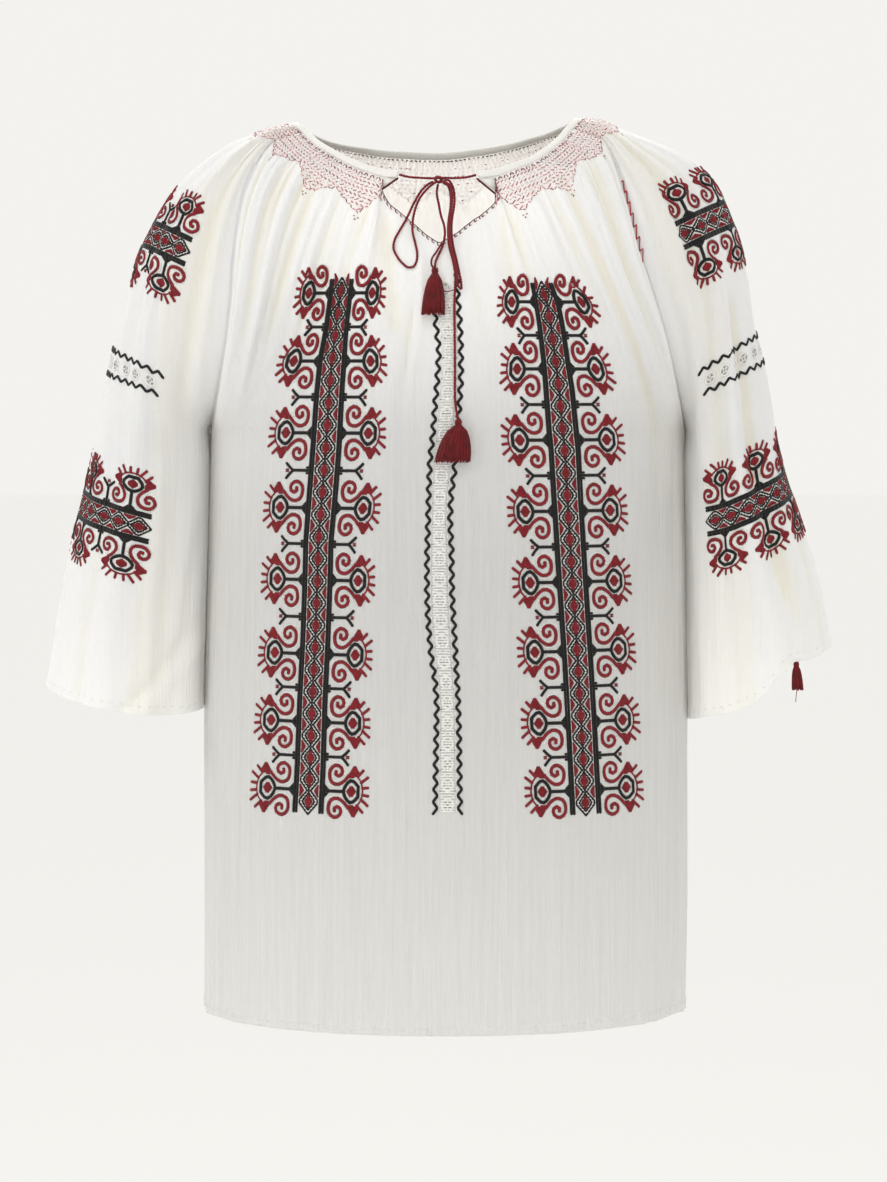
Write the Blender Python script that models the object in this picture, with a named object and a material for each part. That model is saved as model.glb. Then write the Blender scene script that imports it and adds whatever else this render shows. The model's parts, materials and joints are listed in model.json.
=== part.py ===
"""An embroidered folk blouse, worn open at the neck and filled out with no wearer.

The front, the back and two raglan sleeves are thin cloth walls lofted through sections of the
garment. A rolled binding runs round the gathered neck, and a thin drawn cord comes out of its two
ends, is tied over the neck slit, and hangs in a bow and two tails that end in tassels.

Frame: +Z is up, the front faces -Y, and the wearer's left is at +X. The origin is at the neck,
between the two shoulders. Lengths in the tables are millimetres.
"""

import math

import bmesh
import bpy
import numpy as np
from mathutils import Matrix, Vector

MM = 0.001
COLLECTION = "embroidered_blouse"

WALL = 1.2
SEAM_GAP = 0.3
UNDERARM_Z = -244.0
HEM_Z = -706.0
FULLNESS = 0.60  # handle of a quarter section: 0.55 is an ellipse, more is squarer
FRONT_BULGE = -0.42  # how far a panel's rows lean out as they leave the neck edge
BACK_BULGE = 0.42
BACK_SEAM_FROM = 0.2  # share of the half width past which a row bends to meet the raglan seam
ARCH_HANDLE = 0.55  # a sleeve arch's handle beside the seam, as a share of the way to the crest
ARCH_DEPTH = 1.333  # handles' depth for an arch that starts on the middle plane
ARCH_SEAM_EASE = 0.333  # how much less deep the handle beside the seam gets as the seam comes forward
ARCH_CREST_EASE = 0.78  # the same for the handle beside the crest
UNDERARM_CLEARANCE = 1.4
CUFF_SHAPED_FROM = 1.45  # the sleeve's row from which its rings take the cuff's shape

SLIT_SHARE = 0.29  # share of the front's half width that starts on the slit and not on the neck edge
SLIT_COLUMNS = 7
NECK_COLUMNS = 17
BACK_COLUMNS = 38
SLEEVE_COLUMNS = 32
GATHERS_PER_COLUMN = 3
GATHERED_ROWS = 3
GATHER_HEIGHT = 0.9

# Heights of the rows down a panel, from the neck (0) to the underarm (1) and on to the hem (2).
UPPER_ROWS = (0.0, 0.035, 0.07, 0.105, 0.17, 0.25, 0.34, 0.44, 0.55, 0.66, 0.77, 0.88, 1.0)
LOWER_ROWS = (1.12, 1.24, 1.36, 1.48, 1.61, 1.74, 1.87, 2.0)
SLEEVE_UPPER_ROWS = (0.0, 0.035, 0.07, 0.105, 0.17, 0.25, 0.34, 0.44, 0.55, 0.66, 0.77, 0.88, 1.0)
SLEEVE_LOWER_ROWS = (1.12, 1.24, 1.36, 1.48, 1.6, 1.72, 1.86, 2.0)

# The torso below the neck: depth of the centre front and back at each height.
TORSO = {
    "z": (-17, -50, -100, -130, -170, -220, -300, -400, -500, -600, -706),
    "front": (-66, -82, -100, -112, -121, -127, -129, -127, -126, -127, -129),
    "back": (72, 86, 103, 111, 116, 115, 110, 107, 110, 115, 120),
}
# The side seams below the underarm.
SIDES = {
    "z": (-244, -348, -420, -500, -600, -706),
    "right": (-186.0, -188.2, -190.6, -192.6, -193.2, -193.8),
    "left": (189.5, 190.8, 191.8, 192.8, 193.6, 192.4),
}

# The neck edge of the front, from each raglan seam to the slit. Rows are x, y, z.
FRONT_NECK_RIGHT = (
    (-112.3, -22, -9.3),
    (-104.6, -36, -18.1),
    (-96.0, -47, -24.5),
    (-86.8, -56, -30.4),
    (-76.0, -64.5, -37.0),
    (-64.7, -71, -42.2),
    (-47.7, -78, -48.2),
)
FRONT_NECK_LEFT = (
    (99.8, -22, -7.0),
    (93.5, -32, -15.5),
    (85.8, -43, -22.9),
    (78.0, -53, -29.4),
    (68.9, -62, -35.6),
    (54.7, -71, -41.6),
    (38.2, -78, -48.2),
)
# The edge of the slit, from its right corner down to its foot and up to its left corner.
SLIT = (
    (-47.7, -78, -48.2),
    (-48.0, -80, -58.0),
    (-44.5, -82.5, -67.0),
    (-32.2, -88, -78.2),
    (-22.2, -92, -86.8),
    (-12.5, -96.5, -95.0),
    (-4.3, -100, -99.6),
    (4.0, -98.5, -95.5),
    (9.1, -97, -92.3),
    (19.8, -92, -83.7),
    (30.6, -87, -75.9),
    (38.6, -83.5, -66.5),
    (38.8, -81, -58.0),
    (38.2, -78, -48.2),
)
BACK_NECK = (
    (-112.0, 24, -9.0),
    (-99.6, 39, -14.0),
    (-88.0, 50, -17.0),
    (-70.6, 61, -20.0),
    (-44.7, 69, -23.5),
    (-4.0, 72, -25.0),
    (27.0, 70, -22.0),
    (52.8, 63, -17.5),
    (73.5, 50, -12.0),
    (88.0, 36, -8.0),
    (98.0, 22, -4.0),
)

# Raglan seams from the neck to the underarm. Rows are x, y, z.
FRONT_SEAM_RIGHT = (
    (-112.3, -22, -9.3),
    (-134.0, -40, -19.0),
    (-149.0, -60, -44.0),
    (-156.0, -72, -68.0),
    (-161.2, -84, -107.0),
    (-163.8, -87, -143.0),
    (-169.0, -78, -181.0),
    (-177.5, -48, -219.0),
    (-186.0, 0, -244.0),
)
FRONT_SEAM_LEFT = (
    (99.8, -22, -7.0),
    (124.0, -40, -18.0),
    (134.6, -58, -44.0),
    (140.0, -70, -66.0),
    (148.8, -83, -107.0),
    (158.0, -86, -137.0),
    (168.0, -79, -169.0),
    (181.0, -45, -217.0),
    (189.5, 0, -244.0),
)
BACK_SEAM_RIGHT = (
    (-112.0, 24, -9.0),
    (-131.0, 44, -18.0),
    (-143.0, 66, -44.0),
    (-151.0, 84, -80.0),
    (-157.0, 94, -118.0),
    (-163.0, 92, -158.0),
    (-172.0, 70, -201.0),
    (-180.0, 36, -229.0),
    (-186.0, 0, -244.0),
)
BACK_SEAM_LEFT = (
    (98.0, 22, -4.0),
    (120.0, 44, -15.0),
    (135.0, 66, -42.0),
    (146.0, 84, -80.0),
    (154.0, 94, -118.0),
    (162.0, 92, -158.0),
    (174.0, 70, -201.0),
    (183.0, 36, -229.0),
    (189.5, 0, -244.0),
)

# The outer line of each sleeve, over the shoulder and down to the cuff. Rows are x, z.
OUTER_RIGHT = (
    (-121.9, -2.3),
    (-142.8, -7.2),
    (-154.8, -13.5),
    (-172.2, -22.3),
    (-197.6, -38.9),
    (-210.3, -50.0),
    (-228.6, -76.9),
    (-243.8, -107.7),
    (-252.8, -141.7),
    (-264.2, -182.0),
    (-273.0, -228.0),
    (-284.1, -286.4),
    (-296.4, -335.0),
    (-304.0, -368.0),
    (-316.6, -445.1),
)
OUTER_LEFT = (
    (107.6, 1.6),
    (122.2, 0.6),
    (138.1, -7.2),
    (154.8, -14.3),
    (190.5, -28.6),
    (211.0, -45.3),
    (224.6, -70.6),
    (237.5, -110.1),
    (245.8, -162.3),
    (256.4, -205.2),
    (260.4, -231.0),
    (264.0, -256.9),
    (286.9, -328.7),
    (298.3, -365.6),
    (307.6, -416.2),
)
UNDERARM_ROW = 10  # the row of the outer lines that is level with the underarm

# The underarm line of each sleeve, just clear of the side seam. Rows are x, z.
INNER_RIGHT = ((-188.0, -245.5), (-191.6, -348.0), (-194.4, -420.0), (-196.2, -465.3))
INNER_LEFT = ((191.5, -245.5), (194.2, -348.0), (195.4, -420.0), (196.4, -474.0))

# How deep a sleeve is in front of and behind its own middle, from the neck to the cuff.
SLEEVE_DEPTH = {
    "row": (0.0, 0.1, 0.2, 0.35, 0.5, 0.7, 0.85, 1.0, 1.5, 2.0),
    "front": (22, 50, 70, 84, 88, 86, 83, 80, 83, 86),
    "back": (24, 50, 72, 90, 95, 92, 88, 82, 82, 84),
}
# The cuff's height away from a straight line between its outer and inner points, by turn round it:
# 0 is outer, 0.25 front, 0.5 inner and 0.75 back.
CUFF_RIGHT = {"turn": (0.0, 0.15, 0.3, 0.5, 0.75, 1.0), "rise": (0, -4, -5, 0, 0, 0)}
CUFF_LEFT = {
    "turn": (0.0, 0.14, 0.215, 0.25, 0.28, 0.33, 0.40, 0.5, 0.70, 0.77, 0.86, 1.0),
    "rise": (0, 6.6, 14.6, 5.0, -2.0, -2.4, 0.5, 0, -16, -20, -12, 0),
}

# Soft folds as ridges (height over 0) and troughs, in a panel's own shares and rows.
FRONT_FOLDS = (
    # share and row at the top, share and row at the foot, half width as a share, height
    (-0.86, 0.10, -0.84, 0.85, 0.040, 3.0),
    (-0.78, 0.09, -0.74, 0.80, 0.035, -2.4),
    (-0.70, 0.10, -0.66, 1.00, 0.035, 2.6),
    (-0.60, 0.11, -0.58, 0.75, 0.035, -2.4),
    (-0.52, 0.10, -0.49, 0.62, 0.035, 2.2),
    (-0.43, 0.12, -0.41, 0.90, 0.035, -2.0),
    (-0.21, 0.05, -0.10, 0.75, 0.035, -3.0),
    (-0.13, 0.55, -0.17, 1.50, 0.045, 2.4),
    (0.24, 0.05, 0.20, 0.60, 0.035, -2.0),
    (0.44, 0.11, 0.42, 0.85, 0.035, 2.2),
    (0.53, 0.10, 0.52, 0.62, 0.035, -2.4),
    (0.62, 0.11, 0.66, 1.25, 0.035, -3.0),
    (0.71, 0.10, 0.74, 0.95, 0.035, 2.6),
    (0.80, 0.10, 0.84, 0.80, 0.035, -2.4),
    (0.88, 0.09, 0.90, 0.90, 0.040, 2.6),
    (-0.78, 1.20, -0.80, 2.00, 0.060, 2.2),
    (0.70, 1.25, 0.74, 2.00, 0.050, -2.2),
    (0.84, 1.15, 0.86, 2.00, 0.050, 2.0),
)
BACK_FOLDS = (
    (-0.84, 0.10, -0.84, 0.90, 0.045, 3.0),
    (-0.68, 0.10, -0.66, 1.10, 0.045, 2.6),
    (-0.52, 0.11, -0.50, 0.80, 0.045, -2.6),
    (-0.36, 0.10, -0.34, 1.20, 0.045, 3.0),
    (-0.18, 0.11, -0.16, 0.85, 0.045, -2.6),
    (0.00, 0.10, 0.02, 1.30, 0.050, 3.0),
    (0.19, 0.11, 0.17, 0.90, 0.045, -2.6),
    (0.37, 0.10, 0.36, 1.10, 0.045, 2.8),
    (0.53, 0.10, 0.52, 0.80, 0.045, -2.6),
    (0.70, 0.11, 0.68, 1.15, 0.045, 2.8),
    (0.85, 0.10, 0.85, 0.85, 0.045, 2.6),
    (-0.45, 1.20, -0.48, 2.00, 0.060, 2.4),
    (0.48, 1.25, 0.50, 2.00, 0.060, 2.4),
)
SLEEVE_FOLDS_RIGHT = (
    (0.10, 0.08, 0.13, 1.20, 0.030, -4.0),
    (0.19, 0.10, 0.20, 1.00, 0.030, 2.4),
    (0.27, 0.30, 0.28, 2.00, 0.030, 3.6),
    (0.37, 0.10, 0.38, 1.50, 0.035, 2.4),
    (0.66, 0.10, 0.68, 1.60, 0.040, 4.0),
    (0.80, 0.10, 0.80, 1.10, 0.040, -3.0),
    (0.14, 1.20, 0.16, 2.00, 0.030, -3.0),
)
SLEEVE_FOLDS_LEFT = (
    (0.08, 0.08, 0.12, 1.30, 0.030, 4.0),
    (0.16, 0.10, 0.17, 1.40, 0.030, -3.0),
    (0.225, 0.60, 0.275, 2.00, 0.028, 4.6),
    (0.275, 0.65, 0.325, 1.90, 0.028, -4.4),
    (0.38, 0.10, 0.40, 1.50, 0.035, 2.4),
    (0.68, 0.10, 0.66, 1.60, 0.040, 4.0),
    (0.82, 0.10, 0.80, 1.20, 0.040, -3.0),
)

BINDING_HEIGHT = 6.6
BINDING_THICK = 2.6
# The binding runs on past the cloth at each slit corner. Rows are x, y, z of the binding's middle.
BINDING_END_RIGHT = ((-42.0, -80.0, -46.2), (-36.0, -81.2, -46.4))
BINDING_END_LEFT = ((31.0, -80.2, -46.4), (24.5, -81.4, -46.6))

CORD_RADIUS = 1.0
KNOT_CENTRE = (-5.0, -84.4, -51.0)
KNOT_RADII = (4.0, 3.4, 3.2)
# Routes of the cord's stretches, each through its own points. Rows are x, y, z.
DRAWN_RIGHT = ((-35.2, -81.4, -47.0), (-28.0, -82.4, -48.8), (-19.0, -83.2, -49.6), (-9.4, -83.5, -50.0))
DRAWN_LEFT = ((-1.0, -83.0, -49.6), (8.0, -82.9, -49.8), (16.0, -82.4, -49.2), (23.7, -81.6, -47.4))
BOW_RIGHT = (
    (-9.1, -85.5, -52.7),
    (-12.6, -86.2, -54.4),
    (-17.2, -87.2, -58.6),
    (-23.2, -88.7, -68.0),
    (-29.3, -91.4, -80.9),
    (-35.3, -97.4, -91.6),
    (-38.5, -99.6, -97.8),
    (-39.3, -101.8, -104.0),
    (-37.6, -104.1, -108.5),
    (-32.5, -108.3, -115.5),
    (-27.8, -110.1, -118.8),
    (-24.0, -109.9, -118.2),
    (-21.9, -108.4, -114.6),
    (-21.2, -105.9, -108.6),
    (-22.7, -102.1, -100.2),
    (-24.7, -97.9, -91.6),
    (-24.8, -93.8, -84.6),
    (-23.4, -91.6, -76.0),
    (-20.0, -90.4, -66.8),
    (-14.6, -89.6, -59.4),
    (-10.0, -88.8, -55.2),
    (-6.9, -87.5, -53.0),
)
BOW_LEFT = (
    (-0.9, -86.1, -51.5),
    (2.6, -87.6, -51.7),
    (5.4, -88.8, -55.5),
    (7.0, -89.6, -62.5),
    (7.0, -91.0, -71.0),
    (5.6, -94.2, -79.5),
    (4.9, -99.5, -88.0),
    (5.1, -103.0, -95.0),
    (6.0, -105.6, -101.6),
    (9.0, -112.2, -114.7),
    (10.9, -115.8, -124.0),
    (12.2, -118.2, -131.0),
    (12.0, -119.6, -135.4),
    (10.2, -120.0, -133.6),
    (9.2, -118.0, -124.0),
    (7.4, -114.0, -114.7),
    (4.1, -107.6, -101.6),
    (3.2, -104.6, -92.0),
    (4.0, -98.6, -80.0),
    (5.2, -94.8, -70.0),
    (5.0, -92.8, -61.0),
    (3.4, -91.0, -55.5),
    (0.4, -89.4, -53.4),
    (-2.8, -87.9, -52.3),
)
TAIL_SHORT = (
    (-5.4, -85.6, -54.7),
    (-6.3, -86.6, -60.3),
    (-4.8, -88.6, -70.1),
    (-3.0, -92.2, -79.2),
    (-0.7, -97.4, -86.7),
    (-0.2, -101.6, -94.1),
    (-1.9, -104.6, -102.4),
    (-5.4, -108.0, -110.1),
    (-7.4, -111.4, -115.6),
    (-7.7, -114.0, -119.0),
)
TAIL_LONG = (
    (-1.8, -86.0, -53.5),
    (1.4, -86.5, -55.0),
    (3.6, -87.4, -59.4),
    (4.3, -88.4, -64.0),
    (4.2, -90.2, -71.7),
    (2.8, -94.6, -81.9),
    (2.3, -101.0, -90.5),
    (3.0, -104.0, -101.6),
    (6.2, -110.6, -114.7),
    (7.9, -114.8, -125.5),
    (7.4, -118.3, -136.1),
    (7.1, -122.1, -151.3),
    (7.3, -126.2, -174.0),
    (7.5, -128.6, -197.0),
    (7.6, -130.0, -219.0),
    (8.6, -131.2, -228.0),
    (9.8, -132.4, -233.4),
)
# Each stretch of cord with its route and how many points it has.
CORDS = {
    "cord_drawn_right": (DRAWN_RIGHT, 3),
    "cord_drawn_left": (DRAWN_LEFT, 3),
    "cord_bow_right": (BOW_RIGHT, 20),
    "cord_bow_left": (BOW_LEFT, 22),
    "cord_tail_short": (TAIL_SHORT, 11),
    "cord_tail_long": (TAIL_LONG, 21),
}

# Tassels: the head's top, its radius and height, the skirt's foot as seen from the head's top, and
# the foot's half width and half depth.
TASSELS = {
    "tassel_short": {
        "top": (-7.7, -116.0, -119.4),
        "radius": 2.6,
        "head": 5.4,
        "foot": (-1.6, -10.4, -36.0),
        "spread": (8.0, 3.4),
    },
    "tassel_long": {
        "top": (10.0, -134.0, -233.8),
        "radius": 2.7,
        "head": 5.4,
        "foot": (-4.6, 0.0, -33.0),
        "spread": (13.0, 3.4),
    },
}
# The cuff tassel hangs from the left sleeve's hem, so its top is worked out from that edge.
CUFF_TASSEL = {"radius": 2.1, "head": 4.2, "foot": (1.2, 0.0, -22.0), "spread": (4.4, 3.0)}
CUFF_TASSEL_COLUMN = 10
LOCKS = 12
# Rings of a tassel's head: the place down it and the width, as shares. The locks leave between the
# last two.
HEAD_RINGS = ((0.12, 0.62), (0.42, 1.0), (0.72, 0.92), (0.95, 0.45))
LOCK_PLACES = (0.30, 0.65, 1.0)  # where a lock's sections are down the skirt
LOCK_WIDTH = 0.40  # half width as a share of the space between two locks
LOCK_THICK = (0.45, 0.75, 0.60)


def smooth(knots, values, at):
    """Values at the places in `at`, on a curve through the knots that adds no bumps of its own."""
    knots = np.asarray(knots, float)
    values = np.asarray(values, float)
    at = np.clip(np.asarray(at, float), knots[0], knots[-1])
    steps = np.diff(knots)
    slopes = np.diff(values) / steps
    tangents = np.zeros(len(knots))
    for i in range(1, len(knots) - 1):
        before, after = slopes[i - 1], slopes[i]
        if before * after > 0:
            heavy = 2 * steps[i] + steps[i - 1]
            light = steps[i] + 2 * steps[i - 1]
            tangents[i] = (heavy + light) / (heavy / before + light / after)
    tangents[0] = slopes[0]
    tangents[-1] = slopes[-1]
    i = np.clip(np.searchsorted(knots, at, side="right") - 1, 0, len(steps) - 1)
    t = (at - knots[i]) / steps[i]
    rise = t * t * (3 - 2 * t)
    start = t * (1 - t) ** 2
    end = t * t * (t - 1)
    return (
        values[i] * (1 - rise)
        + values[i + 1] * rise
        + steps[i] * (start * tangents[i] + end * tangents[i + 1])
    )


def lengths(points):
    """Distance along a run of points at each of them."""
    return np.concatenate([[0.0], np.cumsum(np.linalg.norm(np.diff(points, axis=0), axis=1))])


def along(points, shares):
    """Points at these shares of the length of a smooth path through `points`."""
    points = np.asarray(points, float)
    run = lengths(points)
    return np.stack([smooth(run / run[-1], points[:, k], shares) for k in range(points.shape[1])], -1)


def ease(low, high, value):
    """0 below low, 1 above high, and a soft step between."""
    t = np.clip((np.asarray(value, float) - low) / (high - low), 0, 1)
    return t * t * (3 - 2 * t)


def bezier(p0, p1, p2, p3, t):
    t = np.asarray(t)[..., None]
    return (1 - t) ** 3 * p0 + 3 * t * (1 - t) ** 2 * p1 + 3 * t * t * (1 - t) * p2 + t**3 * p3


def unit(vectors):
    return vectors / np.maximum(np.linalg.norm(vectors, axis=-1, keepdims=True), 1e-9)


def torso_row(z, shares, face):
    """One level line of the front or back below the underarm, from the right side (-1) to the left (1)."""
    depth = float(smooth(TORSO["z"][::-1], TORSO[face][::-1], z))
    points = np.zeros((len(shares), 3))
    for side, name in ((-1, "right"), (1, "left")):
        half = float(smooth(SIDES["z"][::-1], SIDES[name][::-1], z))
        mask = shares * side >= 0
        curve = bezier(
            np.array((0.0, depth, z)),
            np.array((half * FULLNESS, depth, z)),
            np.array((half, depth * FULLNESS, z)),
            np.array((half, 0.0, z)),
            np.abs(shares[mask]),
        )
        points[mask] = curve
    return points


def panel(top, shares, face, seams, rows, bulge, seam_from):
    """Rows of points of the front or back: a fan from the top edge to the underarm, then level rows."""
    chest = torso_row(UNDERARM_Z, shares, face)
    reach = np.linalg.norm(chest - top, axis=1)[:, None]
    lean = unit(chest - top)
    lean[:, 1] += bulge
    start = unit(lean) * reach
    finish = np.array((0.0, 0.0, -1.0)) * reach
    grid = []
    for row in rows:
        if row > 1:
            z = UNDERARM_Z + (HEM_Z - UNDERARM_Z) * (row - 1)
            grid.append(torso_row(z, shares, face))
            continue
        rise = row * row * (3 - 2 * row)
        points = top * (1 - rise) + chest * rise
        points = points + start * row * (1 - row) ** 2 + finish * row * row * (row - 1)
        for side, seam, end in ((-1, seams[0], 0), (1, seams[1], -1)):
            pull = along(seam, np.array([row]))[0] - points[end]
            weight = ease(seam_from, 1.0, shares * side)[:, None]
            points = points + weight * pull
        grid.append(points)
    return np.array(grid)


def sleeve(outer, inner, seam_front, seam_back, cuff, side, rows, columns):
    """Rows of points of a sleeve: arches between the raglan seams, then closed rings to the cuff."""
    outer = np.asarray(outer, float)
    run = lengths(outer)
    knots = np.where(
        run <= run[UNDERARM_ROW],
        run / run[UNDERARM_ROW],
        1 + (run - run[UNDERARM_ROW]) / (run[-1] - run[UNDERARM_ROW]),
    )
    turns = np.linspace(0, 1, columns + 1)
    grid = []
    for row in rows:
        crest_x = float(smooth(knots, outer[:, 0], row))
        crest_z = float(smooth(knots, outer[:, 1], row))
        crest = np.array((crest_x, 0.0, crest_z))
        if row < 1:
            clear = np.array((side * UNDERARM_CLEARANCE * float(ease(0.6, 1.0, row)), 0.0, 0.0))
            front = along(seam_front, np.array([row]))[0] + clear
            back = along(seam_back, np.array([row]))[0] + clear
        else:
            x, z = along(inner, np.array([row - 1]))[0]
            front = np.array((x, 0.0, z))
            back = front.copy()
        arch = []
        for seam, sign, name in ((front, -1, "front"), (back, 1, "back")):
            depth = float(smooth(SLEEVE_DEPTH["row"], SLEEVE_DEPTH[name], row))
            turned = min(abs(seam[1]) / depth, 1.0)
            p1 = seam + ARCH_HANDLE * turned * (crest - seam)
            p1[1] = sign * depth * (ARCH_DEPTH - ARCH_SEAM_EASE * turned)
            p2 = crest.copy()
            p2[1] = sign * depth * (ARCH_DEPTH - ARCH_CREST_EASE * turned)
            arch.append((seam, p1, p2, crest))
        first = bezier(*arch[0], turns[turns <= 0.5] * 2)
        second = bezier(*arch[1], 2 - turns[turns > 0.5] * 2)
        ring = np.concatenate([first, second])
        turn = np.where(turns <= 0.5, 0.5 - turns, 1.5 - turns)
        shaped = float(ease(CUFF_SHAPED_FROM, 2.0, row))
        ring[:, 2] += smooth(cuff["turn"], cuff["rise"], turn) * shaped
        grid.append(ring)
    return np.array(grid)


def normals_of(grid, closed_from=None):
    """Outward normals of a grid of points whose rows run down and whose columns run to the left (+X)."""
    down = np.gradient(grid, axis=0)
    across = np.gradient(grid, axis=1)
    if closed_from is not None:
        wrap = (grid[closed_from:, 1] - grid[closed_from:, -2]) / 2
        across[closed_from:, 0] = wrap
        across[closed_from:, -1] = wrap
    return unit(np.cross(down, across))


def fold(grid, normals, shares, rows, folds, wrapped=False):
    """The same points with each soft fold of the table raised or sunk along the normals."""
    height = np.zeros(grid.shape[:2])
    across = np.asarray(shares)[None, :]
    down = np.asarray(rows)[:, None]
    for top, top_row, foot, foot_row, half_width, rise in folds:
        t = np.clip((down - top_row) / (foot_row - top_row), 0, 1)
        centre = top + (foot - top) * t
        fade = ease(top_row - 0.06, top_row + 0.10, down)
        if foot_row < 2:
            fade = fade * (1 - ease(foot_row - 0.35, foot_row + 0.05, down))
        off = (across - centre) / half_width
        height += rise * fade * np.exp(-off * off)
    edge = np.abs(shares) if not wrapped else np.abs(np.asarray(shares) - 0.5) * 2
    seam_hold = 1 - ease(0.93, 1.0, edge)[None, :] * (1.0 if not wrapped else 1 - ease(1.0, 1.1, down))
    return grid + normals * (height * seam_hold)[..., None]


def share_normals(first, first_column, second, second_column, rows):
    """Give two panels one normal along their seam, wherever they face nearly the same way."""
    for r in rows:
        a = first[r, first_column]
        b = second[r, second_column]
        agree = float(ease(0.2, 0.6, float(a @ b)))
        both = unit(a + b) if agree > 0 else a
        first[r, first_column] = unit(a * (1 - agree) + both * agree)
        second[r, second_column] = unit(b * (1 - agree) + both * agree)


class Wall:
    """Collects the points and faces of one cloth wall."""

    def __init__(self):
        self.points = []
        self.faces = []

    def row(self, points, closed=False):
        """Adds a run of points and returns their numbers; a closed run repeats its first number."""
        start = len(self.points)
        kept = points[:-1] if closed else points
        self.points.extend(tuple(p) for p in kept)
        numbers = list(range(start, start + len(kept)))
        return numbers + [start] if closed else numbers

    def strip(self, upper, lower, per_column=None):
        """Faces between two runs; where the upper run is finer, each coarse cell is a fan."""
        if per_column is None:
            for i in range(len(upper) - 1):
                self.quad(upper[i], upper[i + 1], lower[i + 1], lower[i])
            return
        place = 0
        for i, count in enumerate(per_column):
            half = (count + 1) // 2
            for j in range(count):
                foot = lower[i] if j < half else lower[i + 1]
                self.face(upper[place + j], upper[place + j + 1], foot)
            self.face(upper[place + half], lower[i + 1], lower[i])
            place += count

    def quad(self, a, b, c, d):
        self.face(a, b, c, d)

    def face(self, *corners):
        kept = []
        for corner in corners:
            if corner not in kept:
                kept.append(corner)
        if len(kept) > 2:
            self.faces.append(tuple(kept))


def refine(row, per_column):
    """A run of points with each cell cut into its own count of equal parts, on a smooth curve."""
    places = [0.0]
    for i, count in enumerate(per_column):
        places.extend(i + (k + 1) / count for k in range(count))
    knots = np.arange(len(row))
    return np.stack([smooth(knots, row[:, k], places) for k in range(3)], -1)


def cloth_wall(grid, normals, per_column=None, gathered_rows=0, closed_from=None):
    """A wall between the outer points and the plain inner ones; gathers are raised outside alone."""
    wall = Wall()
    inner_points = grid - normals * WALL
    outer_rows = []
    count = len(grid)
    fine = per_column is not None
    for r in range(count):
        closed = closed_from is not None and r >= closed_from
        points = grid[r]
        if r < gathered_rows:
            spread = per_column if fine else [1] * (len(points) - 1)
            dense = refine(points, spread) if fine else points.copy()
            lift = refine(normals[r], spread) if fine else normals[r]
            ripple = (np.arange(len(dense)) % 2) * GATHER_HEIGHT * (1 - r / gathered_rows)
            ripple[0] = ripple[-1] = 0
            ripple = ripple * gather_mask(spread)
            points = dense + unit(lift) * ripple[:, None]
        elif fine and r == gathered_rows:
            points = refine(points, per_column)
        outer_rows.append(wall.row(points, closed))
    inner_rows = []
    for r in range(count):
        closed = closed_from is not None and r >= closed_from
        inner_rows.append(wall.row(inner_points[r], closed))
    for r in range(count - 1):
        fan = per_column if fine and r == gathered_rows else None
        wall.strip(outer_rows[r], outer_rows[r + 1], fan)
        wall.strip(inner_rows[r][::-1], inner_rows[r + 1][::-1])
        if closed_from is None or r < closed_from:
            wall.quad(outer_rows[r][0], outer_rows[r + 1][0], inner_rows[r + 1][0], inner_rows[r][0])
            wall.quad(outer_rows[r][-1], inner_rows[r][-1], inner_rows[r + 1][-1], outer_rows[r + 1][-1])
    if fine:
        wall.strip(outer_rows[0], inner_rows[0], per_column)
    else:
        wall.strip(inner_rows[0][::-1], outer_rows[0][::-1])
    wall.strip(outer_rows[-1], inner_rows[-1])
    return wall


def gather_mask(per_column):
    """1 on gathered cells and 0 on cells that aren't cut finer than the rest."""
    mask = [float(per_column[0] > 1 or max(per_column) == 1)]
    for count in per_column:
        mask.extend([float(count > 1 or max(per_column) == 1)] * count)
    return np.array(mask)


def material(name, colour, roughness):
    finish = bpy.data.materials.new(name)
    finish.use_nodes = True
    shader = finish.node_tree.nodes["Principled BSDF"]
    shader.inputs["Base Color"].default_value = (*colour, 1.0)
    shader.inputs["Roughness"].default_value = roughness
    shader.inputs["Metallic"].default_value = 0.0
    finish.diffuse_color = (*colour, 1.0)
    return finish


def add_mesh(name, points, faces, finish, collection):
    """A named mesh object from millimetre points, with its faces turned outwards."""
    mesh = bpy.data.meshes.new(name)
    mesh.from_pydata([Vector(p) * MM for p in points], [], faces)
    shape = bmesh.new()
    shape.from_mesh(mesh)
    bmesh.ops.recalc_face_normals(shape, faces=shape.faces)
    if shape.calc_volume(signed=True) < 0:
        bmesh.ops.reverse_faces(shape, faces=shape.faces)
    shape.to_mesh(mesh)
    shape.free()
    mesh.materials.append(finish)
    piece = bpy.data.objects.new(name, mesh)
    collection.objects.link(piece)
    return piece


def pull_in(grid, column, amount, rows):
    """Move an edge column towards its neighbour, which opens the seam gap."""
    neighbour = 1 if column == 0 else -2
    for r in rows:
        grid[r, column] += unit(grid[r, neighbour] - grid[r, column]) * amount


def front_shares():
    neck = np.linspace(1, SLIT_SHARE, NECK_COLUMNS + 1)
    slit = np.linspace(SLIT_SHARE, 0, SLIT_COLUMNS + 1)[1:]
    half = np.concatenate([neck, slit])
    return np.concatenate([-half, half[::-1][1:]])


def front_top():
    right = along(FRONT_NECK_RIGHT, np.linspace(0, 1, NECK_COLUMNS + 1))
    slit = along(SLIT, np.linspace(0, 1, 2 * SLIT_COLUMNS + 1))
    left = along(FRONT_NECK_LEFT, np.linspace(0, 1, NECK_COLUMNS + 1))[::-1]
    return np.concatenate([right, slit[1:-1], left])


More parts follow.
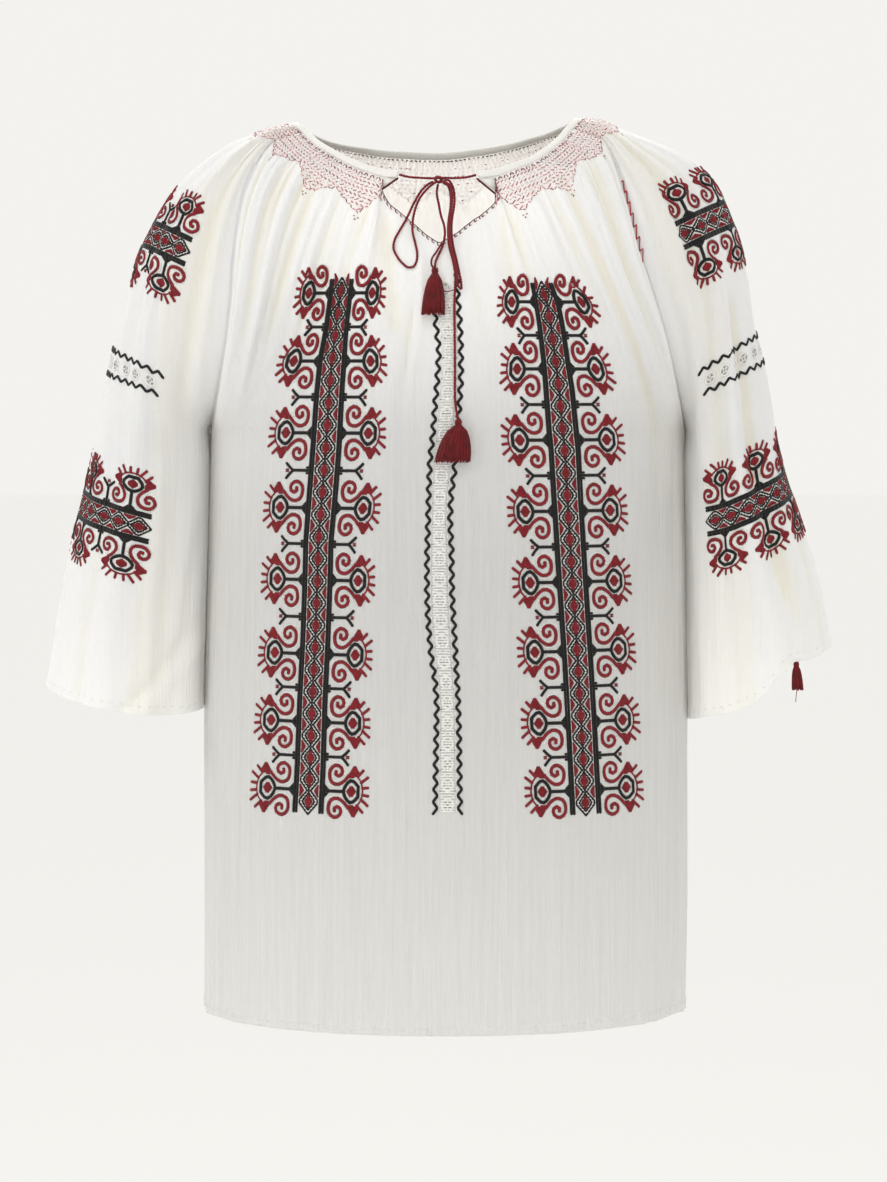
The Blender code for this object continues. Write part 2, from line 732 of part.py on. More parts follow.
def build_cloth():
    """The four cloth grids with their normals, folded and parted at the seams."""
    rows = UPPER_ROWS + LOWER_ROWS
    sleeve_rows = SLEEVE_UPPER_ROWS + SLEEVE_LOWER_ROWS
    last_upper = len(UPPER_ROWS)
    front_at = front_shares()
    back_at = np.linspace(-1, 1, BACK_COLUMNS + 1)
    turns = np.linspace(0, 1, SLEEVE_COLUMNS + 1)
    back_top = along(BACK_NECK, (back_at + 1) / 2)
    front_seams = (FRONT_SEAM_RIGHT, FRONT_SEAM_LEFT)
    back_seams = (BACK_SEAM_RIGHT, BACK_SEAM_LEFT)
    front = panel(front_top(), front_at, "front", front_seams, rows, FRONT_BULGE, SLIT_SHARE)
    back = panel(back_top, back_at, "back", back_seams, rows, BACK_BULGE, BACK_SEAM_FROM)
    lines = (OUTER_RIGHT, INNER_RIGHT, FRONT_SEAM_RIGHT, BACK_SEAM_RIGHT)
    right = sleeve(*lines, CUFF_RIGHT, -1, sleeve_rows, SLEEVE_COLUMNS)
    lines = (OUTER_LEFT, INNER_LEFT, FRONT_SEAM_LEFT, BACK_SEAM_LEFT)
    left = sleeve(*lines, CUFF_LEFT, 1, sleeve_rows, SLEEVE_COLUMNS)
    closed = len(SLEEVE_UPPER_ROWS) - 1
    front = fold(front, normals_of(front), front_at, rows, FRONT_FOLDS)
    back = fold(back, -normals_of(back), back_at, rows, BACK_FOLDS)
    right = fold(right, -normals_of(right, closed), turns, sleeve_rows, SLEEVE_FOLDS_RIGHT, True)
    left = fold(left, normals_of(left, closed), turns, sleeve_rows, SLEEVE_FOLDS_LEFT, True)
    facing = {
        "front": normals_of(front),
        "back": -normals_of(back),
        "right": -normals_of(right, closed),
        "left": normals_of(left, closed),
    }
    upper = range(last_upper)
    share_normals(facing["front"], 0, facing["right"], 0, upper)
    share_normals(facing["front"], -1, facing["left"], 0, upper)
    share_normals(facing["back"], 0, facing["right"], -1, upper)
    share_normals(facing["back"], -1, facing["left"], -1, upper)
    lower = range(last_upper, len(rows))
    share_normals(facing["front"], 0, facing["back"], 0, lower)
    share_normals(facing["front"], -1, facing["back"], -1, lower)
    for grid, edges, span in (
        (front, (0, -1), range(len(rows))),
        (back, (0, -1), range(len(rows))),
        (right, (0, -1), range(closed)),
        (left, (0, -1), range(closed)),
    ):
        for edge in edges:
            pull_in(grid, edge, SEAM_GAP / 2, span)
    return {"front": front, "back": back, "right": right, "left": left}, facing


def binding_stations(grids, facing):
    """Middle line, outward and upward directions of the neck edge, from one slit corner round to the other."""
    runs = []
    slit_corner = NECK_COLUMNS
    front, back = "front", "back"
    columns = len(grids[front][0]) - 1
    every = SLEEVE_COLUMNS // 8
    runs.append((front, list(range(slit_corner, -1, -1))))
    runs.append(("right", list(range(every, SLEEVE_COLUMNS, every))))
    runs.append((back, list(range(0, BACK_COLUMNS + 1))))
    runs.append(("left", list(range(SLEEVE_COLUMNS - every, 0, -every))))
    runs.append((front, list(range(columns, columns - slit_corner - 1, -1))))
    stations = []
    for name, order in runs:
        for c in order:
            outer = grids[name][0, c]
            out = facing[name][0, c]
            up = unit(grids[name][0, c] - grids[name][1, c])
            up = unit(up - out * float(up @ out))
            middle = outer - out * WALL / 2
            stations.append((middle, out, up))
    return even_out(stations)


def even_out(stations):
    """The same stations with each pair of directions averaged with its neighbours'."""
    last = len(stations) - 1
    evened = []
    for i, (middle, _, _) in enumerate(stations):
        near = [stations[min(max(i + step, 0), last)] for step in (-1, 0, 1)]
        out = unit(sum(station[1] for station in near))
        up = sum(station[2] for station in near)
        up = unit(up - out * float(up @ out))
        evened.append((middle, out, up))
    return evened


def build_binding(stations, finish, collection):
    """A rolled strip that stands on the gathered neck edge, with plain ends past the slit corners."""
    half = BINDING_THICK / 2
    # Across the strip: out from its middle, and up as a share of its height.
    profile = (
        (0.0, 0.0),
        (half, 0.25),
        (half, 0.75),
        (0.0, 1.0),
        (-half, 0.75),
        (-half, 0.25),
    )
    rings = []
    for i, (middle, out, up) in enumerate(stations):
        from_end = min(i, len(stations) - 1 - i)
        base = SEAM_GAP * (1.2 + max(0, 3 - from_end))
        ring = [middle + out * x + up * (base + y * BINDING_HEIGHT) for x, y in profile]
        rings.append(np.array(ring))
    for end, first, where in ((BINDING_END_RIGHT, rings[0], 0), (BINDING_END_LEFT, rings[-1], -1)):
        centre = first.mean(axis=0)
        for place in end:
            moved = first + (np.array(place) - centre)
            if where == 0:
                rings.insert(0, moved)
            else:
                rings.append(moved)
    points = [tuple(p) for ring in rings for p in ring]
    sides = len(profile)
    faces = [tuple(range(sides))]
    for r in range(len(rings) - 1):
        for k in range(sides):
            nxt = (k + 1) % sides
            faces.append((r * sides + k, r * sides + nxt, (r + 1) * sides + nxt, (r + 1) * sides + k))
    faces.append(tuple(range((len(rings) - 1) * sides, len(rings) * sides)))
    return add_mesh("neck_binding", points, faces, finish, collection)


def through(points, count):
    """Evenly spaced points on a round curve through a route's own points."""
    points = np.asarray(points, float)
    run = lengths(points)
    tangents = np.gradient(points, run, axis=0)
    fine = np.linspace(0, run[-1], 20 * len(points))
    i = np.clip(np.searchsorted(run, fine, side="right") - 1, 0, len(points) - 2)
    step = (run[i + 1] - run[i])[:, None]
    t = (fine - run[i])[:, None] / step
    rise = t * t * (3 - 2 * t)
    curve = (
        points[i] * (1 - rise)
        + points[i + 1] * rise
        + tangents[i] * step * t * (1 - t) ** 2
        + tangents[i + 1] * step * t * t * (t - 1)
    )
    far = lengths(curve)
    even = np.linspace(0, far[-1], count)
    return np.stack([np.interp(even, far, curve[:, k]) for k in range(3)], -1)


def add_cord(name, route, count, finish, collection):
    """A round tube with flat ends along a route."""
    curve = bpy.data.curves.new(name, "CURVE")
    curve.dimensions = "3D"
    curve.bevel_depth = CORD_RADIUS * MM
    curve.bevel_resolution = 2
    curve.use_fill_caps = True
    spline = curve.splines.new("POLY")
    points = through(route, count)
    spline.points.add(len(points) - 1)
    for point, place in zip(spline.points, points):
        point.co = (*(place * MM), 1.0)
    curve.materials.append(finish)
    piece = bpy.data.objects.new(name, curve)
    collection.objects.link(piece)
    return piece


def add_knot(finish, collection):
    """The knot as a ball stretched to three radii."""
    shape = bmesh.new()
    bmesh.ops.create_uvsphere(shape, u_segments=10, v_segments=8, radius=1.0)
    sizes = Matrix.Diagonal((*[radius * MM for radius in KNOT_RADII], 1.0))
    place = Matrix.Translation(Vector(KNOT_CENTRE) * MM) @ sizes
    bmesh.ops.transform(shape, matrix=place, verts=shape.verts)
    mesh = bpy.data.meshes.new("cord_knot")
    shape.to_mesh(mesh)
    shape.free()
    mesh.materials.append(finish)
    piece = bpy.data.objects.new("cord_knot", mesh)
    collection.objects.link(piece)
    return piece


def ring(centre, radius_x, radius_y):
    """One point for each lock round an ellipse."""
    turns = np.arange(LOCKS) * 2 * np.pi / LOCKS
    off = np.stack([radius_x * np.cos(turns), radius_y * np.sin(turns), np.zeros(LOCKS)], -1)
    return centre + off


def add_tassel(name, top, tassel, finish, collection):
    """A round head whose lowest band of faces runs on down as a skirt of four-sided locks."""
    top = np.asarray(top, float)
    radius = tassel["radius"]
    head = tassel["head"]
    down = np.array((0.0, 0.0, -head))
    rings = [ring(top + down * share, radius * wide, radius * wide) for share, wide in HEAD_RINGS]
    points = [tuple(top)]
    for one in rings:
        points.extend(tuple(p) for p in one)
    points.append(tuple(top + down))
    bottom = len(points) - 1
    faces = []
    last = len(rings) - 1
    for k in range(LOCKS):
        nxt = (k + 1) % LOCKS
        faces.append((0, 1 + k, 1 + nxt))
        for r in range(last - 1):
            upper = 1 + r * LOCKS
            faces.append((upper + k, upper + LOCKS + k, upper + LOCKS + nxt, upper + nxt))
        low = 1 + last * LOCKS
        faces.append((bottom, low + nxt, low + k))
        root = (low - LOCKS + k, low - LOCKS + nxt, low + nxt, low + k)
        add_lock(points, faces, root, (k + 0.5) * 2 * math.pi / LOCKS, top, tassel)
    return add_mesh(name, points, faces, finish, collection)


def add_lock(points, faces, root, turn, top, tassel):
    """One lock from its root face on the head down to the skirt's foot."""
    wide, deep = tassel["spread"]
    foot = np.array(tassel["foot"])
    radius = tassel["radius"]
    out = np.array((math.cos(turn), math.sin(turn), 0.0))
    low_height = -tassel["head"] * HEAD_RINGS[-1][0]
    corners = root
    for place, thick in zip(LOCK_PLACES, LOCK_THICK):
        bell = math.sin(place * math.pi / 2)
        half_x = radius + (wide - radius) * bell
        half_y = radius + (deep - radius) * bell
        centre = top + foot * place + np.array((half_x * out[0], half_y * out[1], 0.0))
        centre[2] = top[2] + low_height + (foot[2] - low_height) * place
        side = np.array((-half_x * math.sin(turn), half_y * math.cos(turn), 0.0))
        half_width = LOCK_WIDTH * float(np.linalg.norm(side)) * 2 * math.pi / LOCKS
        side = unit(side)
        face_out = np.array((side[1], -side[0], 0.0))
        section = len(points)
        for across, away in ((-1, 1), (1, 1), (1, -1), (-1, -1)):
            points.append(tuple(centre + side * across * half_width + face_out * away * thick))
        fresh = (section, section + 1, section + 2, section + 3)
        for c in range(4):
            nxt = (c + 1) % 4
            faces.append((corners[c], fresh[c], fresh[nxt], corners[nxt]))
        corners = fresh
    faces.append(corners)


def main():
    for thing in list(bpy.data.objects):
        bpy.data.objects.remove(thing)
    collection = bpy.data.collections.new(COLLECTION)
    bpy.context.scene.collection.children.link(collection)
    cotton = material("cotton_voile", (0.90, 0.89, 0.85), 0.9)
    grids, facing = build_cloth()
    gathered = [GATHERS_PER_COLUMN] * NECK_COLUMNS
    per_column = gathered + [1] * (2 * SLIT_COLUMNS) + gathered
    wall = cloth_wall(grids["front"], facing["front"], per_column, GATHERED_ROWS)
    add_mesh("front", wall.points, wall.faces, cotton, collection)
    per_column = [GATHERS_PER_COLUMN] * BACK_COLUMNS
    wall = cloth_wall(grids["back"], facing["back"], per_column, GATHERED_ROWS)
    add_mesh("back", wall.points, wall.faces, cotton, collection)
    closed = len(SLEEVE_UPPER_ROWS) - 1
    for name in ("right", "left"):
        wall = cloth_wall(grids[name], facing[name], None, GATHERED_ROWS, closed)
        add_mesh("sleeve_" + name, wall.points, wall.faces, cotton, collection)
    build_binding(binding_stations(grids, facing), cotton, collection)

    thread = material("red_thread", (0.30, 0.008, 0.02), 0.7)
    for name, (route, count) in CORDS.items():
        add_cord(name, route, count, thread, collection)
    add_knot(thread, collection)
    for name, tassel in TASSELS.items():
        add_tassel(name, tassel["top"], tassel, thread, collection)
    middle = facing["left"][-1, CUFF_TASSEL_COLUMN] * WALL / 2
    hem = grids["left"][-1, CUFF_TASSEL_COLUMN] - middle
    under = np.array((0.0, 0.0, -2 * SEAM_GAP))
    add_tassel("cuff_tassel", hem + under, CUFF_TASSEL, thread, collection)


main()
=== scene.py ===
# %% [markdown]
# # An embroidered folk blouse
#
# The real blouse is thin cotton voile. A maker cuts a front, a back and two raglan sleeves, sews
# them together, and gathers the whole neck edge with smocking stitches under a rolled binding.
# Red and black thread work runs down the front in two bands and round the sleeves, and a twisted
# cord is tied over the neck slit.
#
# The frame holds the plain solids. This script lays a thin, creased shell over each of them and
# then sews it, stitch by stitch, with threads that lie on the cloth.

import json
import math

import bmesh
import bpy
import numpy as np
from mathutils import Matrix, Vector
from mathutils.bvhtree import BVHTree
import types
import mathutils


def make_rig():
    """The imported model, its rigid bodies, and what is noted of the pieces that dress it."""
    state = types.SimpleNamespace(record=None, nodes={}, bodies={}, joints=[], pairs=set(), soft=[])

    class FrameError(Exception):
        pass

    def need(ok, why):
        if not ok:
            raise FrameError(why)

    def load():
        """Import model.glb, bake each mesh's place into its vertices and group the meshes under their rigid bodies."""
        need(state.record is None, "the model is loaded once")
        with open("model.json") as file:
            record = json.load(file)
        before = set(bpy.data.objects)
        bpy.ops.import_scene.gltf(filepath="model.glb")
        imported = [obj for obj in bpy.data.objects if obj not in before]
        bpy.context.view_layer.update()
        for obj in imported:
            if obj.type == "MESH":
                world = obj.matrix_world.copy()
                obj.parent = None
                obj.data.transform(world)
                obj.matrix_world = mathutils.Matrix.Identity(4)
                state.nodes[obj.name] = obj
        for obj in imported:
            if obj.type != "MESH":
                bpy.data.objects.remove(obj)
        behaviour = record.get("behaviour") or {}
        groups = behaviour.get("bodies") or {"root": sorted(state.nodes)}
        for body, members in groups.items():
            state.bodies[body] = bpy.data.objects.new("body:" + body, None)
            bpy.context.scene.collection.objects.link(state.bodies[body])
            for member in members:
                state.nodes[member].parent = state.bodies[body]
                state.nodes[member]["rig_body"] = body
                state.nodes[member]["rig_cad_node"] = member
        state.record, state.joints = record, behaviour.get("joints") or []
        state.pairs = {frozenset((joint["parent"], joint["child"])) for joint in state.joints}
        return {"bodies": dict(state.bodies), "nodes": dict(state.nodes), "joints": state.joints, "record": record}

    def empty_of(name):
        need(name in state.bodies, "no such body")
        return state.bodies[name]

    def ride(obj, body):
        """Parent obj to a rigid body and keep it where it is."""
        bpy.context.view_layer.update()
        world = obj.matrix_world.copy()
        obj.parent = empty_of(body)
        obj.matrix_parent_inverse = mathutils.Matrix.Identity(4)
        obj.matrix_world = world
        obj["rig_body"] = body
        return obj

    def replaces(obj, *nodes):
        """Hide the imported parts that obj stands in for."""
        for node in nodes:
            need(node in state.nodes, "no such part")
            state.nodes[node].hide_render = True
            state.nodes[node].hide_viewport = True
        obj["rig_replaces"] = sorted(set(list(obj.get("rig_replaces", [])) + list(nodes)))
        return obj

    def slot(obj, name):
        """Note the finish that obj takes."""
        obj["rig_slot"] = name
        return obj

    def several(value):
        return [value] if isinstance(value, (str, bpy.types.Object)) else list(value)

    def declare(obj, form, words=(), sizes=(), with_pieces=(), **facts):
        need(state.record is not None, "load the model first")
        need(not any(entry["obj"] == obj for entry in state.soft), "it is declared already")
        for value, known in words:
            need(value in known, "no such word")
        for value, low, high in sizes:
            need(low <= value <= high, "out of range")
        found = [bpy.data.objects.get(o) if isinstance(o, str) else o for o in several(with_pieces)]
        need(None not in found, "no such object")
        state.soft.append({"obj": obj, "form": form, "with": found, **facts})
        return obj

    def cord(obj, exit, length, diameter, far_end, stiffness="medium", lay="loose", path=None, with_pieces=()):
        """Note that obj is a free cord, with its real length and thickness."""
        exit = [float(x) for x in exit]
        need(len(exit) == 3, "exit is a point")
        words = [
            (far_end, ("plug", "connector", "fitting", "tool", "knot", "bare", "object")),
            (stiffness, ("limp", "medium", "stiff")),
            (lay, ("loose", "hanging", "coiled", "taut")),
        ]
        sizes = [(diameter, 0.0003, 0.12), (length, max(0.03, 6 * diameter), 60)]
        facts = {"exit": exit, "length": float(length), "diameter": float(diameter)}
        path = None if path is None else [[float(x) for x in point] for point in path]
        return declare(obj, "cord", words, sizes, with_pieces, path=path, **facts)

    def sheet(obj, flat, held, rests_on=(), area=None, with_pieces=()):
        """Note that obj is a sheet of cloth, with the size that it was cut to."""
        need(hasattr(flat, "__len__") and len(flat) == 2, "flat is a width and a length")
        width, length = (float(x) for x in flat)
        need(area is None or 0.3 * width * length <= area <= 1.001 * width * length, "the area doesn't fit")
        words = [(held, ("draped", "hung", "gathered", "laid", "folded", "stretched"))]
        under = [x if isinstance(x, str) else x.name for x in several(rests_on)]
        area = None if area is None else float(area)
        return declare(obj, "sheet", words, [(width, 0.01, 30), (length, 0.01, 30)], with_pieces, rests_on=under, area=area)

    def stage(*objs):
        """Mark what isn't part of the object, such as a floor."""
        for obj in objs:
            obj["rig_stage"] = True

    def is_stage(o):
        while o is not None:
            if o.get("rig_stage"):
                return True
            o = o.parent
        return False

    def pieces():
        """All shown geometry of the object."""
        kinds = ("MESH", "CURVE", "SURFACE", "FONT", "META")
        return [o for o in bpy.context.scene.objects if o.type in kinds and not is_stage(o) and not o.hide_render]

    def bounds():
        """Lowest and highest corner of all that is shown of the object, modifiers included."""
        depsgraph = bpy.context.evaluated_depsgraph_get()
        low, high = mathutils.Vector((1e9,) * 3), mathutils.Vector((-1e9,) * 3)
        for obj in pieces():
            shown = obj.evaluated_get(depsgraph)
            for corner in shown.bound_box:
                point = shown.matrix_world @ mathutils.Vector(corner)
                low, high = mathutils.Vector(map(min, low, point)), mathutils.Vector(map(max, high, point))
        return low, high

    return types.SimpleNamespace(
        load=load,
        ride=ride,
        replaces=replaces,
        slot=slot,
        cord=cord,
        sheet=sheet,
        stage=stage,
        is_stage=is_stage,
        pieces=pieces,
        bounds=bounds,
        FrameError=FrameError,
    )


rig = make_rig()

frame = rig.load()
START_LOW, START_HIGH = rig.bounds()
print("frame", [round(v, 4) for v in START_LOW], [round(v, 4) for v in START_HIGH])

# %% [markdown]
# ## Sizes
#
# All lengths in the tables are millimetres. +Z is up, the front faces -Y, and the wearer's left is
# at +X. The tables give the garment's outline: the neck edge, the raglan seams, the outer lines of
# the sleeves, and the depth of the torso at each height.

# %% Sizes and outline tables
MM = 0.001

UNDERARM_Z = -244.0
HEM_Z = -706.0
FULLNESS = 0.60  # handle of a quarter section: 0.55 is an ellipse, more is squarer
FRONT_BULGE = -0.42  # how far a panel's rows lean out as they leave the neck edge
BACK_BULGE = 0.42
BACK_SEAM_FROM = 0.2  # share of the half width past which a row bends to meet the raglan seam
ARCH_HANDLE = 0.55  # a sleeve arch's handle beside the seam, as a share of the way to the crest
ARCH_DEPTH = 1.333  # handles' depth for an arch that starts on the middle plane
ARCH_SEAM_EASE = 0.333  # how much less deep the handle beside the seam gets as the seam comes forward
ARCH_CREST_EASE = 0.78  # the same for the handle beside the crest
UNDERARM_CLEARANCE = 1.4
CUFF_SHAPED_FROM = 1.45  # the sleeve's row from which its rings take the cuff's shape

SLIT_SHARE = 0.29  # share of the front's half width that starts on the slit and not on the neck edge

# The torso below the neck: depth of the centre front and back at each height.
TORSO = {
    "z": (-17, -50, -100, -130, -170, -220, -300, -400, -500, -600, -706),
    "front": (-66, -82, -100, -112, -121, -127, -129, -127, -126, -127, -129),
    "back": (72, 86, 103, 111, 116, 115, 110, 107, 110, 115, 120),
}
# The side seams below the underarm.
SIDES = {
    "z": (-244, -348, -420, -500, -600, -706),
    "right": (-186.0, -188.2, -190.6, -192.6, -193.2, -193.8),
    "left": (189.5, 190.8, 191.8, 192.8, 193.6, 192.4),
}

# The neck edge of the front, from each raglan seam to the slit. Rows are x, y, z.
FRONT_NECK_RIGHT = (
    (-112.3, -22, -9.3),
    (-104.6, -36, -18.1),
    (-96.0, -47, -24.5),
    (-86.8, -56, -30.4),
    (-76.0, -64.5, -37.0),
    (-64.7, -71, -42.2),
    (-47.7, -78, -48.2),
)
FRONT_NECK_LEFT = (
    (99.8, -22, -7.0),
    (93.5, -32, -15.5),
    (85.8, -43, -22.9),
    (78.0, -53, -29.4),
    (68.9, -62, -35.6),
    (54.7, -71, -41.6),
    (38.2, -78, -48.2),
)
# The edge of the slit, from its right corner down to its foot and up to its left corner.
SLIT = (
    (-47.7, -78, -48.2),
    (-48.0, -80, -58.0),
    (-44.5, -82.5, -67.0),
    (-32.2, -88, -78.2),
    (-22.2, -92, -86.8),
    (-12.5, -96.5, -95.0),
    (-4.3, -100, -99.6),
    (4.0, -98.5, -95.5),
    (9.1, -97, -92.3),
    (19.8, -92, -83.7),
    (30.6, -87, -75.9),
    (38.6, -83.5, -66.5),
    (38.8, -81, -58.0),
    (38.2, -78, -48.2),
)
BACK_NECK = (
    (-112.0, 24, -9.0),
    (-99.6, 39, -14.0),
    (-88.0, 50, -17.0),
    (-70.6, 61, -20.0),
    (-44.7, 69, -23.5),
    (-4.0, 72, -25.0),
    (27.0, 70, -22.0),
    (52.8, 63, -17.5),
    (73.5, 50, -12.0),
    (88.0, 36, -8.0),
    (98.0, 22, -4.0),
)

# Raglan seams from the neck to the underarm. Rows are x, y, z.
FRONT_SEAM_RIGHT = (
    (-112.3, -22, -9.3),
    (-134.0, -40, -19.0),
    (-149.0, -60, -44.0),
    (-156.0, -72, -68.0),
    (-161.2, -84, -107.0),
    (-163.8, -87, -143.0),
    (-169.0, -78, -181.0),
    (-177.5, -48, -219.0),
    (-186.0, 0, -244.0),
)
FRONT_SEAM_LEFT = (
    (99.8, -22, -7.0),
    (124.0, -40, -18.0),
    (134.6, -58, -44.0),
    (140.0, -70, -66.0),
    (148.8, -83, -107.0),
    (158.0, -86, -137.0),
    (168.0, -79, -169.0),
    (181.0, -45, -217.0),
    (189.5, 0, -244.0),
)
BACK_SEAM_RIGHT = (
    (-112.0, 24, -9.0),
    (-131.0, 44, -18.0),
    (-143.0, 66, -44.0),
    (-151.0, 84, -80.0),
    (-157.0, 94, -118.0),
    (-163.0, 92, -158.0),
    (-172.0, 70, -201.0),
    (-180.0, 36, -229.0),
    (-186.0, 0, -244.0),
)
BACK_SEAM_LEFT = (
    (98.0, 22, -4.0),
    (120.0, 44, -15.0),
    (135.0, 66, -42.0),
    (146.0, 84, -80.0),
    (154.0, 94, -118.0),
    (162.0, 92, -158.0),
    (174.0, 70, -201.0),
    (183.0, 36, -229.0),
    (189.5, 0, -244.0),
)

# The outer line of each sleeve, over the shoulder and down to the cuff. Rows are x, z.
OUTER_RIGHT = (
    (-121.9, -2.3),
    (-142.8, -7.2),
    (-154.8, -13.5),
    (-172.2, -22.3),
    (-197.6, -38.9),
    (-210.3, -50.0),
    (-228.6, -76.9),
    (-243.8, -107.7),
    (-252.8, -141.7),
    (-264.2, -182.0),
    (-273.0, -228.0),
    (-284.1, -286.4),
    (-296.4, -335.0),
    (-304.0, -368.0),
    (-316.6, -445.1),
)
OUTER_LEFT = (
    (107.6, 1.6),
    (122.2, 0.6),
    (138.1, -7.2),
    (154.8, -14.3),
    (190.5, -28.6),
    (211.0, -45.3),
    (224.6, -70.6),
    (237.5, -110.1),
    (245.8, -162.3),
    (256.4, -205.2),
    (260.4, -231.0),
    (264.0, -256.9),
    (286.9, -328.7),
    (298.3, -365.6),
    (307.6, -416.2),
)
UNDERARM_ROW = 10  # the row of the outer lines that is level with the underarm

# The underarm line of each sleeve, just clear of the side seam. Rows are x, z.
INNER_RIGHT = ((-188.0, -245.5), (-191.6, -348.0), (-194.4, -420.0), (-196.2, -465.3))
INNER_LEFT = ((191.5, -245.5), (194.2, -348.0), (195.4, -420.0), (196.4, -474.0))

# How deep a sleeve is in front of and behind its own middle, from the neck to the cuff.
SLEEVE_DEPTH = {
    "row": (0.0, 0.1, 0.2, 0.35, 0.5, 0.7, 0.85, 1.0, 1.5, 2.0),
    "front": (22, 50, 70, 84, 88, 86, 83, 80, 83, 86),
    "back": (24, 50, 72, 90, 95, 92, 88, 82, 82, 84),
}
# The cuff's height away from a straight line between its outer and inner points, by turn round it:
# 0 is outer, 0.25 front, 0.5 inner and 0.75 back.
CUFF_RIGHT = {"turn": (0.0, 0.15, 0.3, 0.5, 0.75, 1.0), "rise": (0, -4, -5, 0, 0, 0)}
CUFF_LEFT = {
    "turn": (0.0, 0.14, 0.215, 0.25, 0.28, 0.33, 0.40, 0.5, 0.70, 0.77, 0.86, 1.0),
    "rise": (0, 6.6, 14.6, 5.0, -2.0, -2.4, 0.5, 0, -16, -20, -12, 0),
}

# Soft folds as ridges (height over 0) and troughs, in a panel's own shares and rows.
FRONT_FOLDS = (
    # share and row at the top, share and row at the foot, half width as a share, height
    (-0.86, 0.10, -0.84, 0.85, 0.040, 3.0),
    (-0.78, 0.09, -0.74, 0.80, 0.035, -2.4),
    (-0.70, 0.10, -0.66, 1.00, 0.035, 2.6),
    (-0.60, 0.11, -0.58, 0.75, 0.035, -2.4),
    (-0.52, 0.10, -0.49, 0.62, 0.035, 2.2),
    (-0.43, 0.12, -0.41, 0.90, 0.035, -2.0),
    (-0.21, 0.05, -0.10, 0.75, 0.035, -3.0),
    (-0.13, 0.55, -0.17, 1.50, 0.045, 2.4),
    (0.24, 0.05, 0.20, 0.60, 0.035, -2.0),
    (0.44, 0.11, 0.42, 0.85, 0.035, 2.2),
    (0.53, 0.10, 0.52, 0.62, 0.035, -2.4),
    (0.62, 0.11, 0.66, 1.25, 0.035, -3.0),
    (0.71, 0.10, 0.74, 0.95, 0.035, 2.6),
    (0.80, 0.10, 0.84, 0.80, 0.035, -2.4),
    (0.88, 0.09, 0.90, 0.90, 0.040, 2.6),
    (-0.78, 1.20, -0.80, 2.00, 0.060, 2.2),
    (0.70, 1.25, 0.74, 2.00, 0.050, -2.2),
    (0.84, 1.15, 0.86, 2.00, 0.050, 2.0),
)
BACK_FOLDS = (
    (-0.84, 0.10, -0.84, 0.90, 0.045, 3.0),
    (-0.68, 0.10, -0.66, 1.10, 0.045, 2.6),
    (-0.52, 0.11, -0.50, 0.80, 0.045, -2.6),
    (-0.36, 0.10, -0.34, 1.20, 0.045, 3.0),
    (-0.18, 0.11, -0.16, 0.85, 0.045, -2.6),
    (0.00, 0.10, 0.02, 1.30, 0.050, 3.0),
    (0.19, 0.11, 0.17, 0.90, 0.045, -2.6),
    (0.37, 0.10, 0.36, 1.10, 0.045, 2.8),
    (0.53, 0.10, 0.52, 0.80, 0.045, -2.6),
    (0.70, 0.11, 0.68, 1.15, 0.045, 2.8),
    (0.85, 0.10, 0.85, 0.85, 0.045, 2.6),
    (-0.45, 1.20, -0.48, 2.00, 0.060, 2.4),
    (0.48, 1.25, 0.50, 2.00, 0.060, 2.4),
)
SLEEVE_FOLDS_RIGHT = (
    (0.10, 0.08, 0.13, 1.20, 0.030, -4.0),
    (0.19, 0.10, 0.20, 1.00, 0.030, 2.4),
    (0.27, 0.30, 0.28, 2.00, 0.030, 3.6),
    (0.37, 0.10, 0.38, 1.50, 0.035, 2.4),
    (0.66, 0.10, 0.68, 1.60, 0.040, 4.0),
    (0.80, 0.10, 0.80, 1.10, 0.040, -3.0),
    (0.14, 1.20, 0.16, 2.00, 0.030, -3.0),
)
SLEEVE_FOLDS_LEFT = (
    (0.08, 0.08, 0.12, 1.30, 0.030, 4.0),
    (0.16, 0.10, 0.17, 1.40, 0.030, -3.0),
    (0.225, 0.60, 0.275, 2.00, 0.028, 4.6),
    (0.275, 0.65, 0.325, 1.90, 0.028, -4.4),
    (0.38, 0.10, 0.40, 1.50, 0.035, 2.4),
    (0.68, 0.10, 0.66, 1.60, 0.040, 4.0),
    (0.82, 0.10, 0.80, 1.20, 0.040, -3.0),
)

BINDING_HEIGHT = 6.6
BINDING_THICK = 2.6
# The binding runs on past the cloth at each slit corner. Rows are x, y, z of the binding's middle.
BINDING_END_RIGHT = ((-42.0, -80.0, -46.2), (-36.0, -81.2, -46.4))
BINDING_END_LEFT = ((31.0, -80.2, -46.4), (24.5, -81.4, -46.6))

# %% [markdown]
# ## The cloth
#
# Each panel is a grid of points: columns across the cloth and rows down it. Row 0 is the neck edge,
# row 1 is level with the underarm and row 2 is the hem or cuff. The grids are fine enough here to
# carry the gathers, the crinkle and the long soft folds that hang from them.

